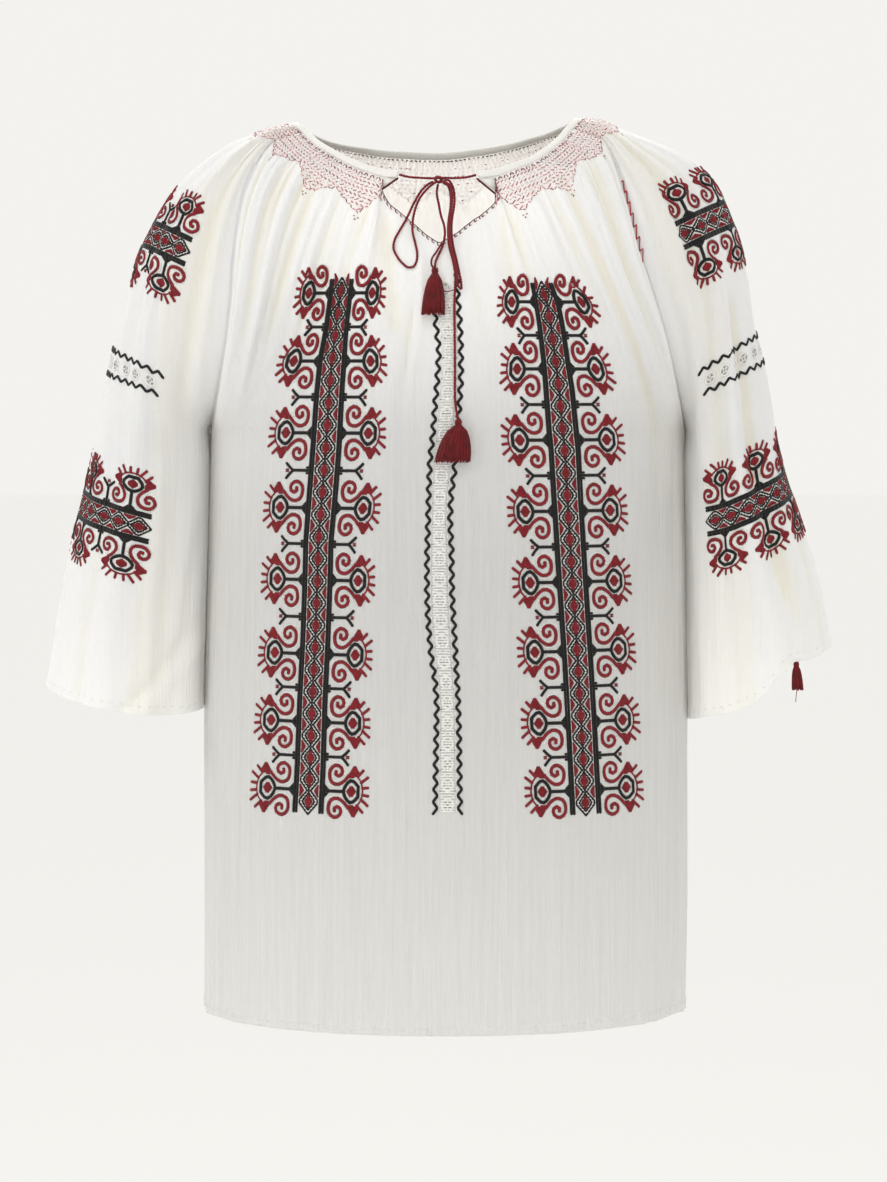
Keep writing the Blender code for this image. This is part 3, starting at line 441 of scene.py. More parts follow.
# %% Surfaces through the outline
def smooth(knots, values, at):
    """Values at the places in `at`, on a curve through the knots that adds no bumps of its own."""
    knots = np.asarray(knots, float)
    values = np.asarray(values, float)
    at = np.clip(np.asarray(at, float), knots[0], knots[-1])
    steps = np.diff(knots)
    slopes = np.diff(values) / steps
    tangents = np.zeros(len(knots))
    for i in range(1, len(knots) - 1):
        before, after = slopes[i - 1], slopes[i]
        if before * after > 0:
            heavy = 2 * steps[i] + steps[i - 1]
            light = steps[i] + 2 * steps[i - 1]
            tangents[i] = (heavy + light) / (heavy / before + light / after)
    tangents[0] = slopes[0]
    tangents[-1] = slopes[-1]
    i = np.clip(np.searchsorted(knots, at, side="right") - 1, 0, len(steps) - 1)
    t = (at - knots[i]) / steps[i]
    rise = t * t * (3 - 2 * t)
    start = t * (1 - t) ** 2
    end = t * t * (t - 1)
    return (
        values[i] * (1 - rise)
        + values[i + 1] * rise
        + steps[i] * (start * tangents[i] + end * tangents[i + 1])
    )


def lengths(points):
    """Distance along a run of points at each of them."""
    return np.concatenate([[0.0], np.cumsum(np.linalg.norm(np.diff(points, axis=0), axis=1))])


def along(points, shares):
    """Points at these shares of the length of a smooth path through `points`."""
    points = np.asarray(points, float)
    run = lengths(points)
    return np.stack([smooth(run / run[-1], points[:, k], shares) for k in range(points.shape[1])], -1)


def ease(low, high, value):
    """0 below low, 1 above high, and a soft step between."""
    t = np.clip((np.asarray(value, float) - low) / (high - low), 0, 1)
    return t * t * (3 - 2 * t)


def bezier(p0, p1, p2, p3, t):
    t = np.asarray(t)[..., None]
    return (1 - t) ** 3 * p0 + 3 * t * (1 - t) ** 2 * p1 + 3 * t * t * (1 - t) * p2 + t**3 * p3


def unit(vectors):
    return vectors / np.maximum(np.linalg.norm(vectors, axis=-1, keepdims=True), 1e-9)


def torso_row(z, shares, face):
    """One level line of the front or back below the underarm, from the right side (-1) to the left (1)."""
    depth = float(smooth(TORSO["z"][::-1], TORSO[face][::-1], z))
    points = np.zeros((len(shares), 3))
    for side, name in ((-1, "right"), (1, "left")):
        half = float(smooth(SIDES["z"][::-1], SIDES[name][::-1], z))
        mask = shares * side >= 0
        points[mask] = bezier(
            np.array((0.0, depth, z)),
            np.array((half * FULLNESS, depth, z)),
            np.array((half, depth * FULLNESS, z)),
            np.array((half, 0.0, z)),
            np.abs(shares[mask]),
        )
    return points


def panel(top, shares, face, seams, rows, bulge, seam_from):
    """Rows of points of the front or back: a fan from the top edge to the underarm, then level rows."""
    chest = torso_row(UNDERARM_Z, shares, face)
    reach = np.linalg.norm(chest - top, axis=1)[:, None]
    lean = unit(chest - top)
    lean[:, 1] += bulge
    start = unit(lean) * reach
    finish = np.array((0.0, 0.0, -1.0)) * reach
    grid = []
    for row in rows:
        if row > 1:
            z = UNDERARM_Z + (HEM_Z - UNDERARM_Z) * (row - 1)
            grid.append(torso_row(z, shares, face))
            continue
        rise = row * row * (3 - 2 * row)
        points = top * (1 - rise) + chest * rise
        points = points + start * row * (1 - row) ** 2 + finish * row * row * (row - 1)
        for side, seam, end in ((-1, seams[0], 0), (1, seams[1], -1)):
            pull = along(seam, np.array([row]))[0] - points[end]
            weight = ease(seam_from, 1.0, shares * side)[:, None]
            points = points + weight * pull
        grid.append(points)
    return np.array(grid)


def sleeve(outer, inner, seam_front, seam_back, cuff, side, rows, columns):
    """Rows of points of a sleeve: arches between the raglan seams, then closed rings to the cuff."""
    outer = np.asarray(outer, float)
    run = lengths(outer)
    knots = np.where(
        run <= run[UNDERARM_ROW],
        run / run[UNDERARM_ROW],
        1 + (run - run[UNDERARM_ROW]) / (run[-1] - run[UNDERARM_ROW]),
    )
    turns = np.linspace(0, 1, columns + 1)
    grid = []
    for row in rows:
        crest_x = float(smooth(knots, outer[:, 0], row))
        crest_z = float(smooth(knots, outer[:, 1], row))
        crest = np.array((crest_x, 0.0, crest_z))
        if row < 1:
            clear = np.array((side * UNDERARM_CLEARANCE * float(ease(0.6, 1.0, row)), 0.0, 0.0))
            front = along(seam_front, np.array([row]))[0] + clear
            back = along(seam_back, np.array([row]))[0] + clear
        else:
            x, z = along(inner, np.array([row - 1]))[0]
            front = np.array((x, 0.0, z))
            back = front.copy()
        arch = []
        for seam, sign, name in ((front, -1, "front"), (back, 1, "back")):
            depth = float(smooth(SLEEVE_DEPTH["row"], SLEEVE_DEPTH[name], row))
            turned = min(abs(seam[1]) / depth, 1.0)
            p1 = seam + ARCH_HANDLE * turned * (crest - seam)
            p1[1] = sign * depth * (ARCH_DEPTH - ARCH_SEAM_EASE * turned)
            p2 = crest.copy()
            p2[1] = sign * depth * (ARCH_DEPTH - ARCH_CREST_EASE * turned)
            arch.append((seam, p1, p2, crest))
        first = bezier(*arch[0], turns[turns <= 0.5] * 2)
        second = bezier(*arch[1], 2 - turns[turns > 0.5] * 2)
        ring = np.concatenate([first, second])
        turn = np.where(turns <= 0.5, 0.5 - turns, 1.5 - turns)
        shaped = float(ease(CUFF_SHAPED_FROM, 2.0, row))
        ring[:, 2] += smooth(cuff["turn"], cuff["rise"], turn) * shaped
        grid.append(ring)
    return np.array(grid)


def normals_of(grid, closed_from=None):
    """Outward normals of a grid of points whose rows run down and whose columns run to the left (+X)."""
    down = np.gradient(grid, axis=0)
    across = np.gradient(grid, axis=1)
    if closed_from is not None:
        wrap = (grid[closed_from:, 1] - grid[closed_from:, -2]) / 2
        across[closed_from:, 0] = wrap
        across[closed_from:, -1] = wrap
    return unit(np.cross(down, across))


def share_normals(first, first_column, second, second_column, rows):
    """Give two panels one normal along their seam, wherever they face nearly the same way."""
    for r in rows:
        a = first[r, first_column]
        b = second[r, second_column]
        agree = float(ease(0.2, 0.6, float(a @ b)))
        both = unit(a + b) if agree > 0 else a
        first[r, first_column] = unit(a * (1 - agree) + both * agree)
        second[r, second_column] = unit(b * (1 - agree) + both * agree)


def through(points, count):
    """Evenly spaced points on a round curve through a route's own points."""
    points = np.asarray(points, float)
    run = lengths(points)
    tangents = np.gradient(points, run, axis=0)
    fine = np.linspace(0, run[-1], 20 * len(points))
    i = np.clip(np.searchsorted(run, fine, side="right") - 1, 0, len(points) - 2)
    step = (run[i + 1] - run[i])[:, None]
    t = (fine - run[i])[:, None] / step
    rise = t * t * (3 - 2 * t)
    curve = (
        points[i] * (1 - rise)
        + points[i + 1] * rise
        + tangents[i] * step * t * (1 - t) ** 2
        + tangents[i + 1] * step * t * t * (t - 1)
    )
    far = lengths(curve)
    even = np.linspace(0, far[-1], count)
    return np.stack([np.interp(even, far, column) for column in curve.T], -1)

# %% [markdown]
# ## Folds, gathers and crinkle
#
# The large folds come from the tables above, each with its own place, length, width and height.
# Under the neck edge the cloth is pleated finely. Each pleat runs on down as a soft crease that
# fades out at its own length, and the whole cloth has a fine upright crinkle that is strongest near
# the hem, because voile of this kind is washed and wrung, not ironed.

# %% Heights over the plain cloth
SEED = 11
GATHER_HEIGHT = 1.15
# Where a panel is gathered: share from, share to, number of pleats, and how high they stand.
GATHERS = {
    "front": (
        (-1.0, -SLIT_SHARE, 29, 1.0),
        (SLIT_SHARE, 1.0, 29, 1.0),
        (-SLIT_SHARE, SLIT_SHARE, 14, 0.45),
    ),
    "back": ((-1.0, 1.0, 60, 1.0),),
    "sleeve_right": ((0.0, 1.0, 30, 1.0),),
    "sleeve_left": ((0.0, 1.0, 30, 1.0),),
}
CREASE_LENGTHS = (0.18, 0.95)  # shortest and longest of the creases that leave the gathers, in rows
CREASE_HEIGHT = 1.6
CRINKLES = ((7.4, 0.20, 1.7), (5.3, 0.16, -2.3), (11.8, 0.30, 1.1), (17.0, 0.30, -0.8))
HEM_HEIGHT = 7.0
HEM_RISE = 0.5
SEAM_SINK = 0.9
SEAM_HALF = 3.2
EDGE_HOLD = 9.0  # how far from a panel's edge its creases reach their full height
WRAP_HALF = 6.0  # the same beside the line where a sleeve's ring closes
SLEEVE_REACH = 0.47  # a sleeve's length below the underarm, as a share of the torso's

# More folds, smaller than the solids': share and row at the top, at the foot, half width, height.
FRONT_SMALL = (
    (-0.93, 0.10, -0.93, 1.10, 0.016, -1.8),
    (-0.82, 0.10, -0.79, 0.70, 0.014, 1.5),
    (-0.74, 0.10, -0.70, 0.66, 0.014, -1.7),
    (-0.655, 0.10, -0.63, 0.82, 0.014, -1.6),
    (-0.56, 0.10, -0.53, 0.60, 0.014, 1.4),
    (-0.475, 0.10, -0.45, 0.75, 0.015, -1.9),
    (-0.38, 0.11, -0.37, 0.62, 0.014, 1.5),
    (-0.33, 0.11, -0.33, 0.95, 0.014, -1.5),
    (-0.27, 0.05, -0.22, 0.90, 0.016, 1.6),
    (-0.075, 0.08, -0.045, 0.60, 0.016, 1.6),
    (-0.085, 0.38, -0.112, 1.02, 0.009, -2.4),
    (-0.060, 0.38, -0.088, 0.98, 0.012, 1.8),
    (0.09, 0.06, 0.11, 0.66, 0.015, -1.4),
    (0.16, 0.05, 0.15, 0.92, 0.016, 1.6),
    (0.30, 0.05, 0.29, 0.86, 0.015, -1.5),
    (0.37, 0.10, 0.35, 0.64, 0.014, 1.5),
    (0.48, 0.10, 0.46, 0.84, 0.015, -1.6),
    (0.57, 0.10, 0.58, 0.90, 0.014, 1.6),
    (0.665, 0.10, 0.69, 0.82, 0.014, 1.7),
    (0.755, 0.10, 0.79, 0.74, 0.014, -1.7),
    (0.84, 0.10, 0.87, 0.90, 0.014, -1.5),
    (0.94, 0.10, 0.94, 1.20, 0.016, 1.7),
    (-0.62, 1.35, -0.63, 2.00, 0.030, 1.3),
    (-0.90, 1.10, -0.91, 2.00, 0.026, -1.4),
    (-0.36, 1.45, -0.37, 2.00, 0.026, -1.1),
    (0.28, 1.40, 0.28, 2.00, 0.030, 1.1),
    (0.56, 1.30, 0.57, 2.00, 0.026, 1.3),
    (0.78, 1.05, 0.80, 2.00, 0.022, -1.5),
    (0.93, 1.15, 0.93, 2.00, 0.022, 1.5),
)
BACK_SMALL = (
    (-0.92, 0.10, -0.92, 1.00, 0.016, -1.6),
    (-0.76, 0.10, -0.74, 0.80, 0.015, 1.6),
    (-0.60, 0.10, -0.59, 0.70, 0.015, -1.5),
    (-0.44, 0.10, -0.42, 1.00, 0.015, 1.5),
    (-0.27, 0.10, -0.25, 0.75, 0.015, -1.6),
    (-0.09, 0.10, -0.07, 0.90, 0.015, 1.5),
    (0.10, 0.10, 0.10, 0.72, 0.015, -1.5),
    (0.28, 0.10, 0.27, 0.95, 0.015, 1.6),
    (0.45, 0.10, 0.44, 0.78, 0.015, -1.6),
    (0.61, 0.10, 0.60, 1.05, 0.015, 1.5),
    (0.78, 0.10, 0.77, 0.80, 0.015, -1.6),
    (0.93, 0.10, 0.93, 1.10, 0.016, 1.5),
    (-0.70, 1.20, -0.71, 2.00, 0.026, -1.4),
    (-0.20, 1.30, -0.21, 2.00, 0.030, 1.2),
    (0.22, 1.25, 0.23, 2.00, 0.028, -1.3),
    (0.74, 1.20, 0.75, 2.00, 0.026, 1.4),
)
# Under the arm the cloth fills out, so that sleeve and body hang against each other.
FULLER = ((0.0, 1.02, 0.0, 2.00, 0.085, 3.6), (1.0, 1.02, 1.0, 2.00, 0.085, 3.6))
FULLER_BODY = ((-1.0, 1.02, -1.0, 1.62, 0.07, 2.4), (1.0, 1.02, 1.0, 1.62, 0.07, 2.4))
SLEEVE_SMALL_RIGHT = (
    (0.05, 1.66, 0.24, 2.00, 0.016, -2.4),
    (0.02, 1.72, 0.19, 2.00, 0.018, 1.6),
    (0.06, 0.10, 0.07, 0.90, 0.014, 1.6),
    (0.16, 0.10, 0.20, 0.70, 0.014, -1.6),
    (0.24, 0.10, 0.26, 1.10, 0.014, 1.5),
    (0.31, 0.10, 0.30, 0.80, 0.014, -1.5),
    (0.44, 0.10, 0.45, 0.90, 0.014, -1.4),
    (0.55, 0.10, 0.55, 0.95, 0.014, 1.5),
    (0.62, 0.10, 0.61, 0.75, 0.014, -1.4),
    (0.75, 0.10, 0.74, 1.00, 0.014, 1.6),
    (0.88, 0.10, 0.89, 0.80, 0.014, -1.5),
    (0.06, 1.30, 0.12, 2.00, 0.020, -2.2),
    (0.20, 1.10, 0.17, 2.00, 0.018, 2.0),
    (0.33, 1.20, 0.34, 2.00, 0.018, -1.6),
    (0.46, 1.10, 0.46, 2.00, 0.020, 1.5),
    (0.58, 1.20, 0.59, 2.00, 0.020, -1.5),
    (0.90, 1.15, 0.88, 2.00, 0.020, 1.6),
)
SLEEVE_SMALL_LEFT = (
    (0.05, 0.10, 0.06, 0.90, 0.014, -1.6),
    (0.12, 0.10, 0.14, 0.80, 0.014, 1.5),
    (0.20, 0.10, 0.21, 0.95, 0.014, 1.5),
    (0.27, 0.10, 0.25, 0.60, 0.014, -1.5),
    (0.34, 0.10, 0.34, 0.85, 0.014, 1.6),
    (0.46, 0.10, 0.45, 0.90, 0.014, -1.4),
    (0.57, 0.10, 0.57, 0.95, 0.014, 1.5),
    (0.63, 0.10, 0.62, 0.75, 0.014, -1.4),
    (0.76, 0.10, 0.75, 1.00, 0.014, 1.6),
    (0.90, 0.10, 0.90, 0.80, 0.014, -1.5),
    (0.07, 1.20, 0.09, 2.00, 0.020, 1.8),
    (0.15, 1.10, 0.17, 2.00, 0.018, -1.8),
    (0.40, 1.20, 0.41, 2.00, 0.018, -1.5),
    (0.50, 1.10, 0.50, 2.00, 0.020, 1.4),
    (0.60, 1.20, 0.60, 2.00, 0.020, -1.5),
    (0.90, 1.15, 0.89, 2.00, 0.020, 1.5),
)


def folds_height(shares, rows, folds):
    """Height of the soft folds of a table over a grid of shares and rows."""
    height = np.zeros((len(rows), len(shares)))
    across = np.asarray(shares)[None, :]
    down = np.asarray(rows)[:, None]
    for top, top_row, foot, foot_row, half_width, rise in folds:
        t = np.clip((down - top_row) / (foot_row - top_row), 0, 1)
        centre = top + (foot - top) * t
        fade = ease(top_row - 0.06, top_row + 0.10, down)
        if foot_row < 2:
            fade = fade * (1 - ease(foot_row - 0.35, foot_row + 0.05, down))
        off = (across - centre) / half_width
        height += rise * fade * np.exp(-off * off)
    return height


def gathers_height(shares, rows, count, low, high, dice):
    """Fine pleats at the neck edge, each with a crease that fades out at its own length."""
    span = (shares - low) / (high - low)
    inside = ((span >= 0) & (span <= 1)).astype(float)
    down = np.asarray(rows)[:, None]
    wander = 0.32 * np.sin(span * 9.1) + 0.21 * np.sin(span * 23.7)
    ripple = 0.5 + 0.5 * np.cos(2 * np.pi * (span * count + wander))
    neck = 1 - ease(0.05, 0.26, down)
    height = GATHER_HEIGHT * (ripple - 0.5)[None, :] * neck * inside
    for k in range(count):
        centre = low + (high - low) * (k + 0.5) / count
        reach = dice.uniform(*CREASE_LENGTHS)
        rise = CREASE_HEIGHT * dice.uniform(0.25, 1.0) * dice.choice((-1.0, 1.0))
        lean = dice.uniform(-0.018, 0.018)
        width = (high - low) / count * dice.uniform(0.34, 0.62)
        spread = width * (1 + 1.3 * down)
        fade = ease(0.06, 0.20, down) * (1 - ease(reach * 0.45, reach, down))
        off = (shares[None, :] - centre - lean * down) / spread
        height += rise * fade * np.exp(-off * off)
    return height


def crinkle_height(run, rows):
    """Fine upright crinkle; `run` is the distance across the cloth at each point."""
    down = np.asarray(rows)[:, None]
    strength = 0.45 + 0.55 * ease(0.9, 2.0, down)
    strength = strength * ease(0.10, 0.35, down)
    height = np.zeros_like(run)
    for spacing, rise, drift in CRINKLES:
        wander = 1.9 * np.sin(drift * down * 3.1 + run / 61.0) + 1.3 * np.sin(run / 23.0 - drift * down)
        bursts = 0.55 + 0.45 * np.sin(run / 37.0 + 2.0 * drift + 2.6 * down)
        height += rise * bursts * np.sin(2 * np.pi * run / spacing + wander)
    return height * strength


class Cloth:
    """A fine grid of cloth points in millimetres, with its outward normals."""

    def __init__(self, name, grid, shares, rows, sign, closed_from=None):
        self.name = name
        self.grid = grid
        self.shares = np.asarray(shares)
        self.rows = np.asarray(rows)
        self.sign = sign
        self.closed_from = closed_from
        self.facing = sign * normals_of(grid, closed_from)

    def raise_by(self, height):
        """Moves each point along its normal, and works the normals out again."""
        self.height = height
        self.grid = self.grid + self.facing * height[..., None]
        self.facing = self.sign * normals_of(self.grid, self.closed_from)

    def run(self):
        """Distance across the cloth at each point."""
        steps = np.linalg.norm(np.diff(self.grid, axis=1), axis=2)
        return np.concatenate([np.zeros((len(self.grid), 1)), np.cumsum(steps, axis=1)], axis=1)

    def down(self):
        """Distance down the cloth from its neck edge at each point."""
        steps = np.linalg.norm(np.diff(self.grid, axis=0), axis=2)
        return np.concatenate([np.zeros((1, self.grid.shape[1])), np.cumsum(steps, axis=0)], axis=0)

    def grow_tree(self):
        """A search tree over the outer face, for points that are seen along one direction."""
        points = [Vector(p) for p in self.grid.reshape(-1, 3)]
        wide = self.grid.shape[1]
        faces = []
        for r in range(self.grid.shape[0] - 1):
            for c in range(wide - 1):
                low = r * wide + c
                faces.append((low, low + 1, low + wide + 1, low + wide))
        self.tree = BVHTree.FromPolygons(points, faces)

    def seen(self, x, z):
        """The point and normal that show at (x, z) to an eye in front of, or behind, the cloth."""
        face = -1.0 if self.name == "front" else 1.0
        found, normal, _, _ = self.tree.ray_cast(Vector((x, 400.0 * face, z)), Vector((0.0, -face, 0.0)))
        if found is None:
            return None
        normal = np.array(normal)
        if normal[1] * face < 0:
            normal = -normal
        return np.array(found), normal

    def at(self, share, row):
        """The point and normal at a share across and a row down."""
        c = float(np.interp(share, self.shares, np.arange(len(self.shares))))
        r = float(np.interp(row, self.rows, np.arange(len(self.rows))))
        c0 = min(int(c), len(self.shares) - 2)
        r0 = min(int(r), len(self.rows) - 2)
        fc = c - c0
        fr = r - r0
        values = []
        for field in (self.grid, self.facing):
            upper = field[r0, c0] * (1 - fc) + field[r0, c0 + 1] * fc
            lower = field[r0 + 1, c0] * (1 - fc) + field[r0 + 1, c0 + 1] * fc
            values.append(upper * (1 - fr) + lower * fr)
        return values[0], unit(values[1])

    def below(self, share, distance):
        """The point and normal at a share across and a distance down from the neck edge."""
        c = int(round(float(np.interp(share, self.shares, np.arange(len(self.shares))))))
        return self.at(share, float(np.interp(distance, self.depth[:, c], self.rows)))


# %% [markdown]
# ## Four panels
#
# The front's top edge follows the neck on both sides and dips along the slit between them. The
# sleeves are arches between the two raglan seams down to the underarm, and rings below it.

# %% Lay the four grids
NECK_FINE = 112
SLIT_FINE = 30
BACK_FINE = 260
SLEEVE_FINE = 150


def fine_rows(upper, lower):
    """Rows that are close together at the neck, where the gathers are."""
    neck = np.linspace(0, 0.14, 15)
    chest = np.linspace(0.14, 1.0, upper)[1:]
    skirt = np.linspace(1.0, 2.0, lower)[1:]
    hem = 2.0 - np.array((0.022, 0.012, 0.004))
    return np.unique(np.round(np.concatenate([neck, chest, skirt, hem]), 5))


def front_outline():
    """Shares and points of the front's top edge, with the slit between the two neck halves."""
    neck = np.linspace(1, SLIT_SHARE, NECK_FINE + 1)
    slit = np.linspace(SLIT_SHARE, 0, SLIT_FINE + 1)[1:]
    half = np.concatenate([neck, slit])
    shares = np.concatenate([-half, half[::-1][1:]])
    right = along(FRONT_NECK_RIGHT, np.linspace(0, 1, NECK_FINE + 1))
    dip = along(SLIT, np.linspace(0, 1, 2 * SLIT_FINE + 1))
    left = along(FRONT_NECK_LEFT, np.linspace(0, 1, NECK_FINE + 1))[::-1]
    return shares, np.concatenate([right, dip[1:-1], left])


def lay_cloth():
    """The four panels as fine grids, creased, with shared normals along their seams."""
    rows = fine_rows(44, 40)
    closed = int(np.searchsorted(rows, 1.0))
    front_at, front_top = front_outline()
    back_at = np.linspace(-1, 1, BACK_FINE + 1)
    back_top = along(BACK_NECK, (back_at + 1) / 2)
    turns = np.linspace(0, 1, SLEEVE_FINE + 1)
    front_seams = (FRONT_SEAM_RIGHT, FRONT_SEAM_LEFT)
    back_seams = (BACK_SEAM_RIGHT, BACK_SEAM_LEFT)
    lines_right = (OUTER_RIGHT, INNER_RIGHT, FRONT_SEAM_RIGHT, BACK_SEAM_RIGHT)
    lines_left = (OUTER_LEFT, INNER_LEFT, FRONT_SEAM_LEFT, BACK_SEAM_LEFT)
    plain = {
        "front": panel(front_top, front_at, "front", front_seams, rows, FRONT_BULGE, SLIT_SHARE),
        "back": panel(back_top, back_at, "back", back_seams, rows, BACK_BULGE, BACK_SEAM_FROM),
        "sleeve_right": sleeve(*lines_right, CUFF_RIGHT, -1, rows, SLEEVE_FINE),
        "sleeve_left": sleeve(*lines_left, CUFF_LEFT, 1, rows, SLEEVE_FINE),
    }
    shares = {"front": front_at, "back": back_at, "sleeve_right": turns, "sleeve_left": turns}
    signs = {"front": 1, "back": -1, "sleeve_right": -1, "sleeve_left": 1}
    tables = {
        "front": FRONT_FOLDS + FRONT_SMALL + FULLER_BODY,
        "back": BACK_FOLDS + BACK_SMALL + FULLER_BODY,
        "sleeve_right": SLEEVE_FOLDS_RIGHT + SLEEVE_SMALL_RIGHT + FULLER,
        "sleeve_left": SLEEVE_FOLDS_LEFT + SLEEVE_SMALL_LEFT + FULLER,
    }
    dice = np.random.RandomState(SEED)
    made = {}
    for name, grid in plain.items():
        tube = name.startswith("sleeve")
        cloth = Cloth(name, grid, shares[name], rows, signs[name], closed if tube else None)
        at = cloth.shares
        height = folds_height(at, rows, tables[name])
        for low, high, count, strength in GATHERS[name]:
            height += gathers_height(at, rows, count, low, high, dice) * strength
        run = cloth.run()
        height += crinkle_height(run, rows)
        edge = np.minimum(run, run[:, -1:] - run)
        hold = ease(0.0, EDGE_HOLD, edge)
        sink = SEAM_SINK * np.exp(-(edge / SEAM_HALF) ** 2)
        drop = (2.0 - rows)[:, None] * (UNDERARM_Z - HEM_Z)
        if tube:
            below = ease(1.0, 1.1, rows)[:, None]
            hold = hold * (1 - below) + below
            hold = np.minimum(hold, 1 - np.exp(-(edge / WRAP_HALF) ** 2))
            sink = sink * 0.5
            drop = drop * SLEEVE_REACH
        height *= hold
        height -= sink * ease(0.02, 0.1, rows)[:, None] * 0.6
        height += HEM_RISE * ease(-0.5, 0.5, HEM_HEIGHT - drop)
        cloth.raise_by(height)
        made[name] = cloth
    upper = range(int(np.searchsorted(rows, 1.0)) + 1)
    lower = range(upper.stop, len(rows))
    for first, column, second, other_column, span in (
        ("front", 0, "sleeve_right", 0, upper),
        ("front", -1, "sleeve_left", 0, upper),
        ("back", 0, "sleeve_right", -1, upper),
        ("back", -1, "sleeve_left", -1, upper),
        ("front", 0, "back", 0, lower),
        ("front", -1, "back", -1, lower),
    ):
        share_normals(made[first].facing, column, made[second].facing, other_column, span)
    for cloth in made.values():
        cloth.depth = cloth.down()
        cloth.grow_tree()
    return made


CLOTHS = lay_cloth()
for name, cloth in CLOTHS.items():
    span = (round(cloth.height.min(), 2), round(cloth.height.max(), 2))
    print(name, "grid", cloth.grid.shape[:2], "heights", *span)

# %% [markdown]
# ## Shells
#
# Voile is about 0.3 mm thick. Each grid becomes a closed shell of 0.5 mm: the creased outer face, an
# inner face that follows it, and a rim round the edge.

# %% Turn each grid into a shell
SHELL = 0.5
# Where the smocking ends below the neck edge: share across the cloth and distance down it.
SMOCKED = {
    "front": (
        (0.0, 0.235, 0.29, 0.372, 0.50, 0.635, 0.745, 0.90, 1.0),
        (0, 6, 18, 37, 25, 41, 25, 40, 27),
    ),
    "back": ((0.0, 0.12, 0.28, 0.44, 0.60, 0.76, 0.90, 1.0), (27, 40, 25, 40, 25, 40, 27, 30)),
    "sleeve_right": ((0.0, 0.25, 0.5, 0.75, 1.0), (27, 40, 25, 40, 28)),
    "sleeve_left": ((0.0, 0.25, 0.5, 0.75, 1.0), (27, 40, 25, 40, 28)),
}


def smocked(cloth, share):
    """How far down the smocking reaches at a share across the cloth."""
    shares, reach = SMOCKED[cloth.name]
    return float(np.interp(abs(share), shares, reach))


def painted_shade_of(cloth):
    """Painted shade: 1 in the deepest creases, and part of that on a sleeve's inner half, which lies in shade."""
    inner = np.zeros(len(cloth.shares))
    if cloth.closed_from is not None:
        inner = 0.55 * ease(0.02, 0.08, cloth.shares) * (1 - ease(0.20, 0.25, cloth.shares))
    return np.clip(np.maximum(-cloth.height / 3.0, inner[None, :]), 0, 1)


def body_shade_of(cloth):
    """Painted shade: how grey the front and back are painted from the chest down, where only the dim empty body is
    behind the cloth.
    """
    if cloth.closed_from is not None:
        return np.zeros_like(cloth.height)
    return np.repeat(ease(0.3, 1.3, cloth.rows)[:, None], len(cloth.shares), axis=1)


def underarm_light_of(cloth):
    """Painted light: how much lighter a sleeve is painted on its underarm side, to lift the shade between sleeve and
    body.
    """
    if cloth.closed_from is None:
        return np.zeros_like(cloth.height)
    near = 1 - ease(0.06, 0.24, np.minimum(cloth.shares, 1 - cloth.shares))
    return 0.75 * near[None, :] * ease(0.45, 1.0, cloth.rows)[:, None]


def blush_of(cloth):
    """1 where the pink threads behind the cloth show through it, and 0 below the smocking."""
    reach = np.array([smocked(cloth, share) for share in cloth.shares])[None, :]
    return 1 - ease(-2.0, 2.0, cloth.depth - reach)


def put(name, data):
    """A new object in the scene."""
    piece = bpy.data.objects.new(name, data)
    bpy.context.scene.collection.objects.link(piece)
    return piece


def add_piece(name, points, faces, finish):
    """A named mesh object in the frame from millimetre points."""
    mesh = bpy.data.meshes.new(name)
    mesh.from_pydata([tuple(v) for v in np.asarray(points) * MM], [], faces)
    mesh.update()
    mesh.shade_smooth()
    mesh.materials.append(finish)
    piece = put(name, mesh)
    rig.ride(piece, "root")
    return piece


def shell_of(cloth, finish):
    """A closed shell on a cloth grid, with its attributes for painted shade in troughs, pink ground, painted grey
    shade on the body and painted light on the inside.
    """
    high, wide = cloth.grid.shape[:2]
    outer = cloth.grid.reshape(-1, 3)
    inner = (cloth.grid - cloth.facing * SHELL).reshape(-1, 3)
    count = len(outer)
    index = np.arange(count).reshape(high, wide)
    if cloth.closed_from is not None:
        index[cloth.closed_from :, -1] = index[cloth.closed_from :, 0]
    faces = []
    for r in range(high - 1):
        for c in range(wide - 1):
            a, b = index[r, c], index[r, c + 1]
            d, e = index[r + 1, c], index[r + 1, c + 1]
            faces.append((a, d, e, b))
            faces.append((a + count, b + count, e + count, d + count))
    for c in range(wide - 1):
        a, b = index[0, c], index[0, c + 1]
        faces.append((a, b, b + count, a + count))
        a, b = index[-1, c], index[-1, c + 1]
        faces.append((b, a, a + count, b + count))
    last = high if cloth.closed_from is None else cloth.closed_from + 1
    for r in range(last - 1):
        a, d = index[r, 0], index[r + 1, 0]
        faces.append((d, a, a + count, d + count))
        a, d = index[r, -1], index[r + 1, -1]
        faces.append((a, d, d + count, a + count))
    if cloth.sign < 0:
        faces = [face[::-1] for face in faces]
    faces = np.array(faces)
    used, numbers = np.unique(faces, return_inverse=True)
    points = np.concatenate([outer, inner])[used]
    piece = add_piece("cloth_" + cloth.name, points, numbers.reshape(-1, 4).tolist(), finish)
    fields = {"trough": painted_shade_of(cloth), "blush": blush_of(cloth), "sheer": body_shade_of(cloth)}
    sides = {name: (field.reshape(-1), field.reshape(-1)) for name, field in fields.items()}
    # inside: painted light, full on the inner face and partial on a sleeve's underarm side
    sides["inside"] = (underarm_light_of(cloth).reshape(-1), np.ones(count))
    for name, pair in sides.items():
        layer = piece.data.attributes.new(name, "FLOAT", "POINT")
        layer.data.foreach_set("value", np.concatenate(pair)[used].astype(np.float32))
    return piece
